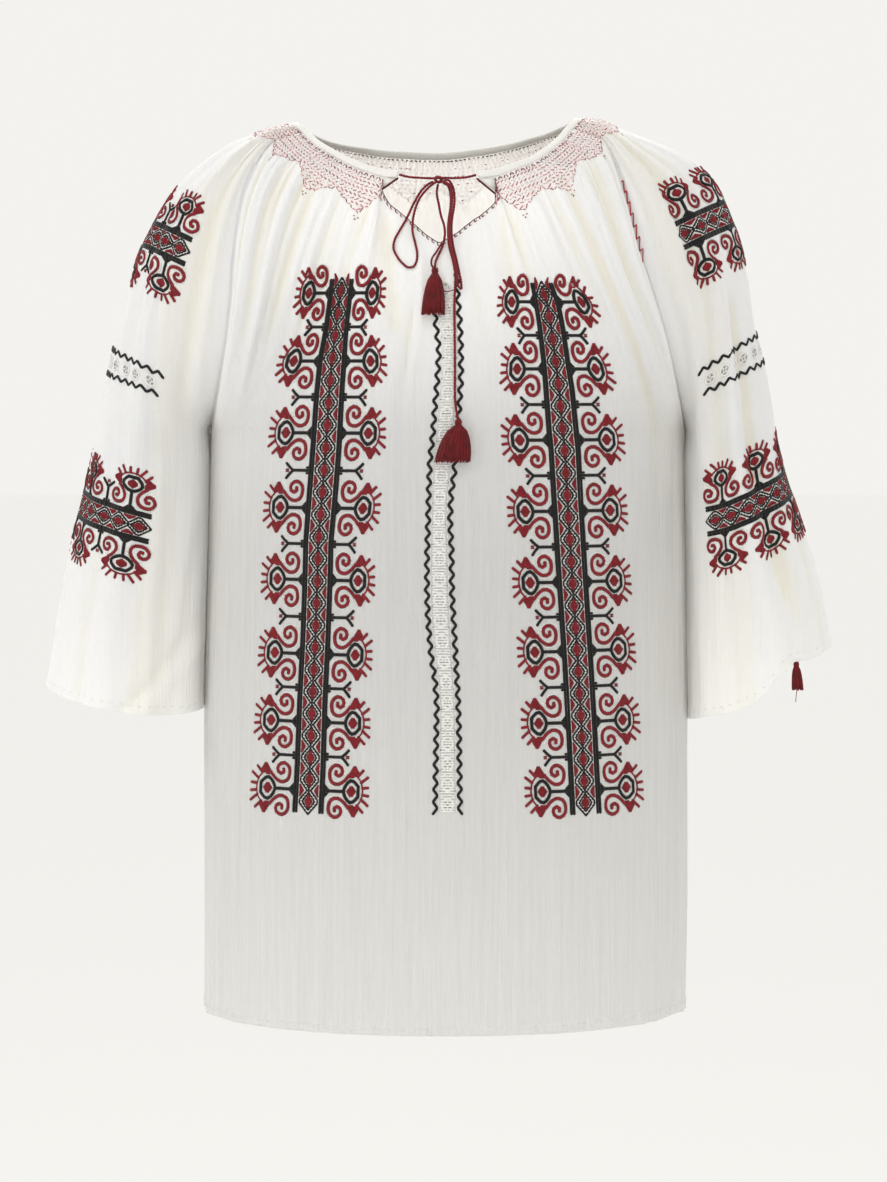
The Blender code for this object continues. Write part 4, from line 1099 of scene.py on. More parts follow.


# %% [markdown]
# ## Finishes
#
# Voile scatters light softly. Its colour carries painted shade, ivory in its creases and on a sleeve's inner
# half and grey on the front and back below the chest, and painted light on its inner face and on a sleeve's
# underarm side. Its fine crinkle and weave are too small for the grid, so they are bump. The threads are
# matte cotton. The node trees are written as sums: `Socket` wraps one output and turns + and * into Math nodes.

# %% Shader sums
class Socket:
    """One output of a node tree, with arithmetic that adds Math nodes."""

    def __init__(self, tree, output):
        self.tree = tree
        self.output = output

    def join(self, operation, other, swap=False):
        """A Math node on this socket and another socket or a number, in that order or swapped."""
        node = self.tree.nodes.new("ShaderNodeMath")
        node.operation = operation
        for place, value in enumerate((other, self) if swap else (self, other)):
            if isinstance(value, Socket):
                self.tree.links.new(value.output, node.inputs[place])
            else:
                node.inputs[place].default_value = value
        return Socket(self.tree, node.outputs[0])

    def __add__(self, other):
        return self.join("ADD", other)

    def __radd__(self, other):
        return self.join("ADD", other, True)

    def __sub__(self, other):
        return self.join("SUBTRACT", other)

    def __mul__(self, other):
        return self.join("MULTIPLY", other)

    def clamp(self):
        return self.join("MAXIMUM", 0.0).join("MINIMUM", 1.0)


class Finish:
    """A Principled material whose nodes are added by type, settings and sockets."""

    def __init__(self, name, colour, roughness, sheen=0.0):
        self.material = bpy.data.materials.new(name)
        self.material.use_nodes = True
        self.tree = self.material.node_tree
        self.shader = self.tree.nodes["Principled BSDF"]
        self.shader.inputs["Base Color"].default_value = (*colour, 1.0)
        self.shader.inputs["Roughness"].default_value = roughness
        self.shader.inputs["Sheen Weight"].default_value = sheen
        self.shader.inputs["Specular IOR Level"].default_value = 0.25
        self.material.diffuse_color = (*colour, 1.0)

    def node(self, kind, output=0, settings=(), **sockets):
        made = self.tree.nodes.new("ShaderNode" + kind)
        for key, value in dict(settings).items():
            setattr(made, key, value)
        for key, value in sockets.items():
            socket = made.inputs[key.replace("_", " ")]
            if isinstance(value, Socket):
                self.tree.links.new(value.output, socket)
            else:
                socket.default_value = value
        return Socket(self.tree, made.outputs[output])

    def feed(self, name, value):
        self.tree.links.new(value.output, self.shader.inputs[name])


def mix_colours(finish, share, first, second):
    """A colour between two, by a share."""
    made = finish.tree.nodes.new("ShaderNodeMix")
    made.data_type = "RGBA"
    finish.tree.links.new(share.output, made.inputs[0])
    for place, colour in ((6, first), (7, second)):
        if isinstance(colour, Socket):
            finish.tree.links.new(colour.output, made.inputs[place])
        else:
            made.inputs[place].default_value = (*colour, 1.0)
    return Socket(finish.tree, made.outputs[2])


# %% Make the finishes
VOILE = (0.885, 0.883, 0.872)
# painted shade colour for the front and back below the chest
BODY_SHADE = (0.505, 0.508, 0.508)
# painted light: the inner face painted bright, as if lit through the cloth, plain and with pink ground
LIT_INSIDE = (0.990, 0.965, 0.920)
LIT_INSIDE_BLUSH = (0.990, 0.930, 0.905)
# painted shade colour: ivory for the creases and a sleeve's inner half
IVORY_SHADE = (0.835, 0.790, 0.655)
BLUSH = (0.830, 0.660, 0.640)
RED = (0.290, 0.012, 0.020)
DARK_RED = (0.165, 0.005, 0.010)
BLACK = (0.0065, 0.006, 0.0065)
WHITE = (0.86, 0.855, 0.84)
PINK = (0.580, 0.215, 0.215)
ROSE = (0.330, 0.060, 0.065)
GREY = (0.30, 0.27, 0.25)


def voile():
    """Thin creased cotton with a fine upright crinkle, and painted shade and light in its colour: ivory in its
    troughs, grey on the body, bright on the inner face.
    """
    finish = Finish("cotton_voile", VOILE, 0.88, 0.12)
    finish.shader.inputs["Subsurface Weight"].default_value = 0.75
    finish.shader.inputs["Subsurface Radius"].default_value = (1.0, 0.95, 0.85)
    finish.shader.inputs["Subsurface Scale"].default_value = 0.004
    place = finish.node("TexCoord", 3)

    def noise(scale, detail, roughness):
        squeezed = finish.node("Mapping", 0, Vector=place, Scale=scale)
        return finish.node("TexNoise", 0, Vector=squeezed, Scale=1.0, Detail=detail, Roughness=roughness)

    streaks = noise((260.0, 260.0, 34.0), 3.0, 0.55)
    upright = noise((420.0, 420.0, 9.0), 3.0, 0.6)
    grain = noise((900.0, 900.0, 420.0), 2.0, 0.5)
    cloudy = finish.node("TexNoise", 0, Vector=place, Scale=9.0, Detail=2.0)
    # painted shade in creases and on a sleeve's inner half, with random cloudy tone, mixed towards ivory
    trough = finish.node("Attribute", 2, {"attribute_name": "trough"})
    tint = (trough + (cloudy - 0.45) * 0.6 + (streaks - 0.5) * 0.4).clamp()
    blush = finish.node("Attribute", 2, {"attribute_name": "blush"})
    plain = mix_colours(finish, tint, VOILE, IVORY_SHADE)
    # painted shade: the front and back greyed from the chest down
    sheer = finish.node("Attribute", 2, {"attribute_name": "sheer"})
    greyness = (sheer * (0.9 + (upright - 0.5) * 0.3)).clamp()
    greyed = mix_colours(finish, greyness, plain, BODY_SHADE)
    outside = mix_colours(finish, blush * 0.5, greyed, BLUSH)
    # painted light on the inner face, with the pink ground of the smocking
    lit_inside = mix_colours(finish, blush * 0.8, LIT_INSIDE, LIT_INSIDE_BLUSH)
    # the inside attribute mixes in that painted light
    inside = finish.node("Attribute", 2, {"attribute_name": "inside"})
    finish.feed("Base Color", mix_colours(finish, inside, outside, lit_inside))
    relief = streaks * 0.6 + upright * 0.7 + grain * 0.25
    bump = finish.node("Bump", 0, Strength=0.75, Distance=0.0012, Height=relief)
    finish.feed("Normal", bump)
    return finish.material


def thread(name, colour, darker, roughness=0.62):
    """Cotton thread, a little uneven in colour from stitch to stitch."""
    finish = Finish(name, colour, roughness, 0.10)
    place = finish.node("TexCoord", 3)
    uneven = finish.node("TexNoise", 0, Vector=place, Scale=260.0, Detail=2.0)
    share = ((uneven - 0.35) * 1.8).clamp()
    finish.feed("Base Color", mix_colours(finish, share, darker, colour))
    return finish.material


FINISHES = {
    "voile": voile(),
    "red": thread("red_thread", RED, DARK_RED),
    "dark": thread("dark_red_thread", (0.15, 0.006, 0.010), (0.07, 0.004, 0.007)),
    "cord": thread("red_cord", (0.235, 0.004, 0.013), (0.12, 0.003, 0.008), 0.55),
    "tassel": thread("red_tassel", (0.215, 0.003, 0.008), (0.10, 0.002, 0.004), 0.6),
    "black": thread("black_thread", BLACK, (0.003, 0.003, 0.003)),
    "white": thread("white_thread", WHITE, (0.76, 0.75, 0.73)),
    # painted shade grey for the openwork rings
    "shade": thread("pulled_thread", (0.50, 0.49, 0.47), (0.42, 0.41, 0.40)),
    "edge": thread("binding_voile", (0.78, 0.775, 0.76), (0.72, 0.71, 0.68), 0.88),
    "pink": thread("pink_thread", PINK, (0.46, 0.13, 0.14)),
    "rose": thread("rose_thread", ROSE, (0.22, 0.035, 0.04)),
    "bright": thread("bright_thread", (0.48, 0.035, 0.035), (0.34, 0.02, 0.025)),
    "ochre": thread("ochre_thread", (0.42, 0.20, 0.06), (0.30, 0.13, 0.04)),
    "grey": thread("grey_thread", GREY, (0.10, 0.07, 0.07)),
}

CLOTH_PIECES = {name: shell_of(cloth, FINISHES["voile"]) for name, cloth in CLOTHS.items()}
for name, piece in CLOTH_PIECES.items():
    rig.replaces(piece, name)
    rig.slot(piece, "cotton_voile")
    print(piece.name, len(piece.data.polygons), "faces")

# %% [markdown]
# ## Threads
#
# Every stitch is a short thread with rounded ends, laid on the cloth between two points. The charts
# below only collect stitches. Geometry Nodes then puts one thread on each, turned and sized by its
# own attributes, and joins them, so that thousands of stitches are one mesh for each colour.

# %% Collect stitches
THREAD_LIFT = 0.16  # how far a thread's middle is over the cloth, as a share of its width
SHORTEST = 0.15  # a shorter stitch is left out
ONE_STITCH = 99.0  # a step so long that a path is one stitch


class Threads:
    """Stitches by colour, as places, turns and sizes."""

    def __init__(self, name, cloth_name):
        self.name = name
        self.cloth_name = cloth_name
        self.stitches = {}

    def stitch(self, colour, start, finish, normal, width, height=0.62):
        """A thread from start to finish (mm) that lies across the normal."""
        start = np.asarray(start, float)
        finish = np.asarray(finish, float)
        way = finish - start
        length = float(np.linalg.norm(way))
        if length < SHORTEST:
            return
        way = way / length
        up = unit(normal - way * float(normal @ way))
        side = np.cross(up, way)
        turn = Matrix(np.stack([way, side, up], axis=1).tolist()).to_euler()
        place = (start + finish) / 2 + up * width * THREAD_LIFT
        size = (length + width * 0.7, width, width * height)
        self.stitches.setdefault(colour, []).append((place, tuple(turn), size))

    def run(self, colour, place, path, width, step=2.3, closed=False):
        """Stitches end to end along a path of chart points, mapped to the cloth by `place`."""
        path = np.asarray(path, float)
        if closed:
            path = np.vstack([path, path[:1]])
        far = lengths(path)
        count = max(1, int(round(far[-1] / step)))
        marks = []
        for d in np.linspace(0, far[-1], count + 1):
            marks.append(place(*[float(np.interp(d, far, column)) for column in path.T]))
        for before, after in zip(marks, marks[1:]):
            if before is not None and after is not None:
                self.stitch(colour, before[0], after[0], unit(before[1] + after[1]), width)

    def corners(self, colour, place, path, width):
        """One stitch from each corner of a path of chart points to the next."""
        for before, after in zip(path, path[1:]):
            self.run(colour, place, (before, after), width, ONE_STITCH)

    def fill(self, colour, place, rows, width=0.95):
        """Satin stitches: each row is left, right and the height of one thread in the chart."""
        for left, right, high in rows:
            start = place(left, high)
            finish = place(right, high)
            if start is not None and finish is not None:
                self.stitch(colour, start[0], finish[0], unit(start[1] + finish[1]), width, 0.8)

    def count(self):
        return sum(len(rows) for rows in self.stitches.values())


def rounded(points, step=0.8):
    """A round path through a chart's corner points."""
    points = np.asarray(points, float)
    return through(points, max(3, int(lengths(points)[-1] / step)))


def thread_mesh():
    """One thread along X, one unit long, wide and high: two pointed ends and two four-sided rings."""
    rings = ((-0.36, 0.46), (0.36, 0.46))
    points = [(-0.5, 0.0, 0.0)]
    for x, radius in rings:
        points += [(x, radius, 0.0), (x, 0.0, radius), (x, -radius, 0.0), (x, 0.0, -radius * 0.5)]
    points.append((0.5, 0.0, 0.0))
    faces = []
    for k in range(4):
        nxt = (k + 1) % 4
        faces.append((0, 1 + nxt, 1 + k))
        faces.append((1 + k, 1 + nxt, 5 + nxt, 5 + k))
        faces.append((9, 5 + k, 5 + nxt))
    mesh = bpy.data.meshes.new("thread")
    mesh.from_pydata(points, [], faces)
    mesh.shade_smooth()
    return put("thread", mesh)


def laying_tree(thread_piece):
    """Geometry Nodes: a thread on each point, turned by `turn`, sized by `size`, in one finish."""
    tree = bpy.data.node_groups.new("lay_threads", "GeometryNodeTree")
    face = tree.interface
    face.new_socket("Geometry", in_out="INPUT", socket_type="NodeSocketGeometry")
    finish = face.new_socket("Finish", in_out="INPUT", socket_type="NodeSocketMaterial")
    face.new_socket("Geometry", in_out="OUTPUT", socket_type="NodeSocketGeometry")
    new = tree.nodes.new
    source = new("NodeGroupInput")
    result = new("NodeGroupOutput")
    one = new("GeometryNodeObjectInfo")
    one.inputs["Object"].default_value = thread_piece
    lay = new("GeometryNodeInstanceOnPoints")
    turn = new("GeometryNodeInputNamedAttribute")
    size = new("GeometryNodeInputNamedAttribute")
    for node, name in ((turn, "turn"), (size, "size")):
        node.data_type = "FLOAT_VECTOR"
        node.inputs["Name"].default_value = name
    spin = new("FunctionNodeEulerToRotation")
    real = new("GeometryNodeRealizeInstances")
    coat = new("GeometryNodeSetMaterial")
    for start, output, end, place in (
        (source, "Geometry", lay, "Points"),
        (one, "Geometry", lay, "Instance"),
        (turn, "Attribute", spin, "Euler"),
        (spin, "Rotation", lay, "Rotation"),
        (size, "Attribute", lay, "Scale"),
        (lay, "Instances", real, "Geometry"),
        (real, "Geometry", coat, "Geometry"),
        (source, "Finish", coat, "Material"),
        (coat, "Geometry", result, "Geometry"),
    ):
        tree.links.new(start.outputs[output], end.inputs[place])
    return tree, finish.identifier


def lay_threads(threads, tree, finish_input):
    """One plain mesh for each colour of a set of stitches."""
    made = []
    for colour, rows in threads.stitches.items():
        points = [tuple(np.asarray(place) * MM) for place, _, _ in rows]
        mesh = bpy.data.meshes.new("marks")
        mesh.from_pydata(points, [], [])
        turns = np.array([turn for _, turn, _ in rows])
        sizes = np.array([size for _, _, size in rows]) * MM
        for field, values in (("turn", turns), ("size", sizes)):
            layer = mesh.attributes.new(field, "FLOAT_VECTOR", "POINT")
            layer.data.foreach_set("vector", values.astype(np.float32).reshape(-1))
        marks = put("marks", mesh)
        nodes = marks.modifiers.new("lay", "NODES")
        nodes.node_group = tree
        nodes[finish_input] = FINISHES[colour]
        bpy.context.view_layer.update()
        laid = marks.evaluated_get(bpy.context.evaluated_depsgraph_get())
        plain = bpy.data.meshes.new_from_object(laid)
        name = threads.name + "_" + colour
        plain.name = name
        bpy.data.objects.remove(marks)
        if not plain.materials:
            plain.materials.append(FINISHES[colour])
        piece = put(name, plain)
        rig.ride(piece, "root")
        made.append(piece)
        triangles = sum(len(face.vertices) - 2 for face in plain.polygons)
        print(name, len(rows), "stitches,", triangles, "triangles")
    return made


# %% [markdown]
# ## The band chart
#
# Both front bands and all four sleeve bands repeat one traditional chart, worked here in millimetres:
# `a` is across the band from its middle and `b` is down along it. Between two black bars runs a
# lattice of red diamonds in black and white frames. From the bars, horned wings stand out on both
# sides: a black stem with a ring round a red heart, two red ram's-horn spirals with solid tips, and
# red rays. Short forked twigs stand between the wings.

# %% Chart the band
BAR_FROM = 9.6  # a bar's middle, from the band's middle
REPEAT = 16.9  # from one diamond to the next
# Everything on a wing is measured from its bar's middle (a) and its stem (b), for its upper half.
HORN = (
    (19.4, 12.6),
    (15.6, 7.8),
    (11.2, 5.3),
    (7.2, 6.6),
    (5.2, 12.0),
    (6.2, 17.6),
    (9.8, 20.2),
    (13.7, 18.2),
    (14.4, 14.6),
    (12.3, 11.7),
    (9.6, 12.9),
    (9.8, 15.6),
)
OUTLINES = (
    (
        *((18.2, 15.8), (15.6, 12.0), (15.8, 16.0), (13.8, 20.4)),
        *((9.6, 22.2), (4.4, 19.4), (3.3, 12.6), (4.6, 6.0)),
    ),
    ((4.6, 6.0), (9.4, 3.1), (14.0, 3.7), (16.6, 6.6), (19.6, 10.0)),
)
RING = (
    (15.6, 0.0),
    (16.6, 3.8),
    (19.8, 8.5),
    (22.4, 8.5),
    (26.4, 4.2),
    (26.4, -4.2),
    (22.4, -8.5),
    (19.8, -8.5),
    (16.6, -3.8),
)
RING_MIDDLE = 21.3
TIP = (
    (11.0, 19.6, 23.0),
    (12.0, 18.6, 26.6),
    (13.0, 18.8, 27.4),
    (14.0, 19.4, 27.2),
    (15.0, 20.0, 26.6),
    (16.0, 20.6, 26.0),
    (17.0, 21.2, 25.4),
    (18.0, 21.8, 24.9),
    (19.0, 22.4, 24.4),
)
RAYS = (
    ((25.6, 11.4), (29.8, 16.6)),
    ((28.2, 6.8), (33.4, 11.4)),
    ((29.2, 2.8), (33.8, 3.3)),
    ((29.2, -2.4), (34.0, -3.2)),
    ((28.4, -5.6), (33.8, -10.8)),
    ((25.4, -10.4), (30.2, -16.0)),
)
FRINGE = ((24.4, 12.6), (27.6, 9.0), (29.2, 4.4), (29.6, 0.0), (29.2, -4.4), (27.4, -9.0), (24.2, -12.2))
DOTS = ((21.3, 6.0), (18.9, 3.6), (23.7, 3.6), (18.9, -3.6), (23.7, -3.6), (21.3, -6.0))


def wing(threads, place, side, along_band, tall=1.0):
    """One wing on a side of the band (-1 or 1), with its stem at `along_band`."""

    def spot(a, b):
        return place(side * (BAR_FROM + a), along_band + b * tall)

    for k in range(6):
        for sign in (1, -1):
            line = ((-1.0, sign * (0.6 + 1.15 * k)), (5.6 - 0.95 * k, sign * (0.6 + 1.15 * k)))
            threads.run("black", spot, line, 1.6, 6.0)
    threads.run("black", spot, ((3.0, 0.0), (16.2, 0.0)), 2.9, 2.8)
    threads.run("black", spot, RING, 2.9, 2.6, True)
    for sign in (1, -1):
        threads.run("red", spot, rounded([(a, sign * b) for a, b in HORN]), 3.0, 2.6)
        for line in OUTLINES:
            threads.run("white", spot, rounded([(a, sign * b) for a, b in line]), 0.9, 2.8)
        for b, left, right in TIP:
            threads.fill("red", spot, ((left, right, sign * b),), 1.5)
    for k in range(9):
        high = -3.6 + 0.9 * k
        half = 3.7 * (1 - abs(high) / 5.2)
        threads.fill("red", spot, ((RING_MIDDLE - half, RING_MIDDLE + half, high),), 1.35)
    for a, b in DOTS:
        threads.run("white", spot, ((a - 0.5, b), (a + 0.5, b)), 1.2, 1.0)
    for line in RAYS:
        threads.run("red", spot, line, 2.55, 3.4)
    threads.run("red", spot, FRINGE, 1.5, 2.8)


def twig(threads, place, side, along_band):
    """A forked black twig with a small red berry."""

    def spot(a, b):
        return place(side * (BAR_FROM + a), along_band + b)

    threads.run("black", spot, ((0.0, 0.0), (14.2, 0.0)), 2.6, 2.7)
    threads.run("black", spot, ((13.8, 0.3), (16.4, 2.6), (18.8, 5.4)), 2.5, 2.6)
    threads.run("black", spot, ((13.8, -0.3), (16.2, -3.0), (18.4, -6.2)), 2.5, 2.6)
    for b in (2.2, -2.2):
        threads.run("black", spot, ((0.4, b), (3.6, b)), 2.0, 3.0)
    threads.fill("red", spot, ((16.9, 18.9, 0.6), (16.9, 18.9, -0.8)), 1.4)


def lattice(threads, place, along_band, half=BAR_FROM):
    """One repeat of the lattice, with its diamond's middle at `along_band`."""
    low = REPEAT / 2

    def spot(a, b):
        return place(a, along_band + b)

    for k in range(10):
        high = -4.5 + k
        wide = 3.1 * (1 - abs(high) / 5.6) + 0.2
        threads.fill("red", spot, ((-wide, wide, high),), 1.4)
    for wide, tall in ((half - 2.7, low + 1.6), (half - 5.1, low - 1.9)):
        corners = ((0.0, tall), (wide, 0.9), (wide, -0.9), (0.0, -tall), (-wide, -0.9), (-wide, 0.9))
        threads.run("black", spot, corners, 1.75, 2.7, True)
    for x in (-1, 1):
        for y in (-1, 1):
            for share in (0.08, 0.33, 0.58, 0.83):
                a = x * (half - 3.9) * (1 - share)
                b = y * (0.4 + low * share)
                threads.fill("white", spot, ((a - 0.5, a + 0.5, b),), 1.15)
            threads.fill("white", spot, ((x * 2.0 - 0.45, x * 2.0 + 0.45, y * 3.2),), 1.0)
    for side in (-1, 1):
        for k in range(8):
            high = -4.2 + 1.2 * k
            wide = 3.3 * (1 - abs(high) / 5.4)
            outer = side * (half - 2.6)
            inner = side * (half - 2.6 - wide)
            threads.fill("red", spot, ((min(outer, inner), max(outer, inner), low + high),), 1.5)


def bars(threads, place, start, finish, half=BAR_FROM):
    """The two black bars with thin white lines inside and outside them."""
    for side in (-1, 1):
        for off in (-1.0, 1.0):
            line = ((side * half + off, start), (side * half + off, finish))
            threads.run("black", place, line, 2.5, 4.2)
        threads.run("white", place, ((side * (half - 2.3), start), (side * (half - 2.3), finish)), 0.9, 4.0)


# %% [markdown]
# ## Front bands
#
# Each band hangs from the gathers and swings out a little towards the hem, so its middle is given
# at several heights, with half the space between its bars. Eight wing rows hang on each, 55 mm apart.

# %% Sew the front bands
BAND_RIGHT = {
    "z": (
        *(-128.0, -148.0, -166.0, -190.0, -213.0, -257.0, -294.0),
        *(-327.0, -359.0, -403.0, -449.0, -503.0, -536.0),
    ),
    "x": (
        *(-78.4, -80.6, -82.9, -85.9, -87.9, -90.7, -93.7),
        *(-96.6, -97.5, -99.2, -101.7, -103.7, -105.5),
    ),
    "half": (7.4, 7.6, 7.8, 9.2, 9.6, 10.0, 10.0, 9.7, 9.7, 9.7, 9.8, 10.1, 10.2),
}
BAND_LEFT = {
    "z": (
        *(-131.0, -146.6, -166.3, -192.8, -211.8, -242.1),
        *(-257.3, -300.0, -360.0, -420.0, -480.0, -537.0),
    ),
    "x": (73.2, 77.5, 80.9, 84.3, 86.6, 89.3, 90.9, 93.4, 97.4, 101.6, 105.2, 108.4),
    "half": (7.0, 8.4, 8.8, 9.2, 10.0, 10.4, 10.4, 10.2, 10.1, 10.1, 10.2, 10.2),
}
WINGS_RIGHT = (-138.2, -189.8, -244.4, -301.5, -356.6, -413.5, -465.9, -518.6)
WINGS_LEFT = (-145.0, -195.8, -249.7, -303.8, -358.1, -411.2, -466.0, -518.7)


def on_band(cloth, band):
    """A map from the chart's (a, b) to the cloth, where b is the height z itself."""
    heights = band["z"][::-1]
    middles = band["x"][::-1]
    halves = band["half"][::-1]

    def place(a, b):
        middle = float(np.interp(b, heights, middles))
        half = float(np.interp(b, heights, halves))
        return cloth.seen(middle + a * half / BAR_FROM, b)

    return place


def sew_band(threads, cloth, band, wings):
    place = on_band(cloth, band)
    top = band["z"][0]
    foot = band["z"][-1]
    bars(threads, place, top, foot)
    count = int(round((top - foot) / REPEAT))
    for k in range(count):
        lattice(threads, place, top - REPEAT * (k + 0.5) * (top - foot) / (count * REPEAT))
    for z in wings:
        for side in (-1, 1):
            wing(threads, place, side, z)
    for above, below in zip(wings, wings[1:]):
        for side in (-1, 1):
            twig(threads, place, side, (above + below) / 2)


FRONT = Threads("front_bands", "front")
sew_band(FRONT, CLOTHS["front"], BAND_RIGHT, WINGS_RIGHT)
sew_band(FRONT, CLOTHS["front"], BAND_LEFT, WINGS_LEFT)
print("front bands", FRONT.count(), "stitches")


# %% [markdown]
# ## Sleeve bands
#
# Two bands with the same chart run round each sleeve over its outer line, and end square before
# they reach the underarm. Here `a` runs down the sleeve and `b` round it, both measured on the
# cloth from the outer line. Between the two bands lie two black zigzag lines with white openwork.

# %% Sew round the sleeves
SLEEVE_BANDS = {
    "sleeve_right": (
        # shares round the sleeve, rows of the band's middle, half length, stems, twigs
        ((0.16, 0.5, 0.84), (0.49, 0.51, 0.49), 95.0, (-77.0, -26.0, 26.0, 77.0), (-51.5, 0.0, 51.5)),
        (
            (0.2, 0.5, 0.8),
            (1.37, 1.335, 1.37),
            122.0,
            (-104.0, -52.0, 0.0, 52.0, 104.0),
            (-78.0, -26.0, 26.0, 78.0),
        ),
    ),
    "sleeve_left": (
        ((0.13, 0.36, 0.64, 0.87), (0.45, 0.47, 0.47, 0.45), 105.0, (-87.0, -43.5, 0.0, 43.5, 87.0), ()),
        (
            (0.2, 0.47, 0.53, 0.8),
            (1.32, 1.285, 1.285, 1.32),
            146.0,
            (-128.0, -85.5, -43.0, 0.0, 43.0, 85.5, 128.0),
            (),
        ),
    ),
}
ZIGZAG_PERIOD = 9.6
# The rows of a sleeve's two zigzag lines, and half their length.
ZIGZAGS = {
    "sleeve_right": ((0.83, 0.895), 103.0),
    "sleeve_left": ((0.79, 0.86), 118.0),
}


def round_sleeve(cloth, shares, rows):
    """A map from a (down) and b (round) to a sleeve, from a middle line at rows by shares."""
    level = int(np.searchsorted(cloth.rows, rows[0]))
    run = cloth.run()[level]
    crest = float(np.interp(0.5, cloth.shares, run))

    def place(a, b):
        share = float(np.interp(crest + b, run, cloth.shares))
        c = int(round(share * (len(cloth.shares) - 1)))
        middle = float(np.interp(np.interp(share, shares, rows), cloth.rows, cloth.depth[:, c]))
        return cloth.below(share, middle + a)

    return place


def zigzag(start, finish, middle, rise):
    """Chart points of a zigzag along b, with `middle` giving its a at each b."""
    count = int(round(abs(finish - start) / (ZIGZAG_PERIOD / 2)))
    steps = np.linspace(start, finish, count + 1)
    return [(middle(b) + rise * (-1) ** k, b) for k, b in enumerate(steps)]


def openwork(threads, place, marks, size=1.0):
    """Pulled white work: a ring with four petals, a grey inner ring of painted shade, and a small eyelet at each mark.
    """

    def spot(b, reach, t):
        return (reach * size * math.cos(t), b + reach * size * math.sin(t))

    for n, b in enumerate(marks):
        corners = [spot(b, 4.4, t) for t in np.arange(8) * math.pi / 4]
        threads.run("white", place, corners, 1.7, 3.4, True)
        # a grey ring just inside the white one: painted shade
        shade = [(0.78 * x, b + 0.78 * (y - b)) for x, y in corners]
        threads.run("shade", place, shade, 0.9, 3.0, True)
        for t in np.arange(4) * math.pi / 2 + math.pi / 4 * (n % 2):
            threads.run("white", place, (spot(b, 1.2, t), spot(b, 3.4, t)), 1.3, 4.0)
            off = spot(b, 2.2, t + 0.78)
            threads.run("grey", place, (off, (off[0] + 0.5, off[1])), 0.85, 2.0)
        threads.run("grey", place, ((-0.35, b), (0.35, b)), 0.9, 2.0)


def sew_sleeve(threads, cloth):
    for shares, rows, half, stems, twigs in SLEEVE_BANDS[cloth.name]:
        place = round_sleeve(cloth, shares, rows)
        bars(threads, place, -half, half)
        count = int(round(2 * half / REPEAT))
        for k in range(count):
            lattice(threads, place, -half + 2 * half * (k + 0.5) / count)
        tall = 0.94 if len(twigs) == 0 else 1.0
        for b in stems:
            for side in (-1, 1):
                wing(threads, place, side, b, tall)
        for b in twigs:
            for side in (-1, 1):
                twig(threads, place, side, b)
    rows, half = ZIGZAGS[cloth.name]
    for row in rows:
        place = round_sleeve(cloth, (0.0, 1.0), (row, row))
        threads.corners("black", place, zigzag(-half, half, lambda b: 0.0, 1.9), 2.4)
    middle = sum(rows) / 2
    place = round_sleeve(cloth, (0.0, 1.0), (middle, middle))
    openwork(threads, place, np.arange(8.0 - half, half - 6.0, 14.0))


SLEEVE_SETS = []
for name in SLEEVE_BANDS:
    sewn = Threads(name + "_bands", name)
    sew_sleeve(sewn, CLOTHS[name])
    SLEEVE_SETS.append(sewn)
    print(sewn.name, sewn.count(), "stitches")

# %% [markdown]
# ## Smocking
#
# Rows of short slanted dashes hold the gathers under the neck edge, all round the neck. Most are
# pink, some rose and a few dark. They end in teeth, edged with short pink and rose dashes, and
# rose and dark arches stand along the upper edge. Under each long tooth are small ochre and dark
# marks. The same stitches show as small dots inside the back of the neck.

# %% Sew the smocking
SMOCK_ROWS = np.arange(6.4, 42.0, 3.4)
SMOCK_STEP = 4.3
ARCH_STEP = 6.4
TOOTH_STEP = 2.9
LONG_TOOTH = 37  # a tooth that reaches at least this far down has marks under its tip
DOT_STEP = 4.3


def smock(threads, cloth, low, high, dice):
    """Smocking between two shares of a cloth."""
    edge = int(np.searchsorted(cloth.rows, 0.06))
    run = cloth.run()[edge]
    start = float(np.interp(low, cloth.shares, run))
    finish = float(np.interp(high, cloth.shares, run))

    def place(a, b):
        return cloth.below(float(np.interp(a, run, cloth.shares)), b)

    for k, distance in enumerate(SMOCK_ROWS):
        for mark in np.arange(start + 1.0 + 1.65 * (k % 2), finish - 1.0, SMOCK_STEP):
            share = float(np.interp(mark, run, cloth.shares))
            if distance > smocked(cloth, share) - 1.5:
                continue
            draw = dice.rand()
            colour = "pink" if draw < 0.72 else "rose" if draw < 0.95 else "dark"
            long = 1.05 + 0.6 * dice.rand()
            slant = (0.95 if k % 2 else -0.95) * dice.uniform(0.2, 1.3)
            line = ((mark - long, distance - slant), (mark + long, distance + slant))
            threads.run(colour, place, line, 0.95, 4.0)
    for mark in np.arange(start + 2.5, finish - 2.0, ARCH_STEP):
        share = float(np.interp(mark, run, cloth.shares))
        if smocked(cloth, share) < 8.0:
            continue
        arch = ((mark - 1.9, 4.4), (mark - 1.2, 2.4), (mark + 1.2, 2.4), (mark + 1.9, 4.4))
        threads.run("dark" if dice.rand() < 0.4 else "rose", place, arch, 0.95, 2.2)
    for n, mark in enumerate(np.arange(start + 0.5, finish - 1.5, TOOTH_STEP)):
        teeth = []
        for off, rise in ((-0.9, 0.8), (0.9, -0.8)):
            share = float(np.interp(mark + off, run, cloth.shares))
            teeth.append((mark + off, smocked(cloth, share) + rise * (-1) ** n))
        threads.run("rose" if dice.rand() < 0.3 else "pink", place, teeth, 0.95, 9.0)
    shares, reach = SMOCKED[cloth.name]
    for share, tip in zip(shares, reach):
        for sign in (-1, 1) if cloth.name in ("front", "back") else (1,):
            if tip >= LONG_TOOTH and low < sign * share < high:
                mark = float(np.interp(sign * share, cloth.shares, run))
                for off in (-1.6, 1.6):
                    dash = ((mark + off, tip + 3.4), (mark + off + 0.8, tip + 3.4))
                    threads.run("ochre", place, dash, 1.1, 2.0)
                threads.run("dark", place, ((mark - 0.4, tip + 5.6), (mark + 0.4, tip + 5.6)), 1.1, 2.0)


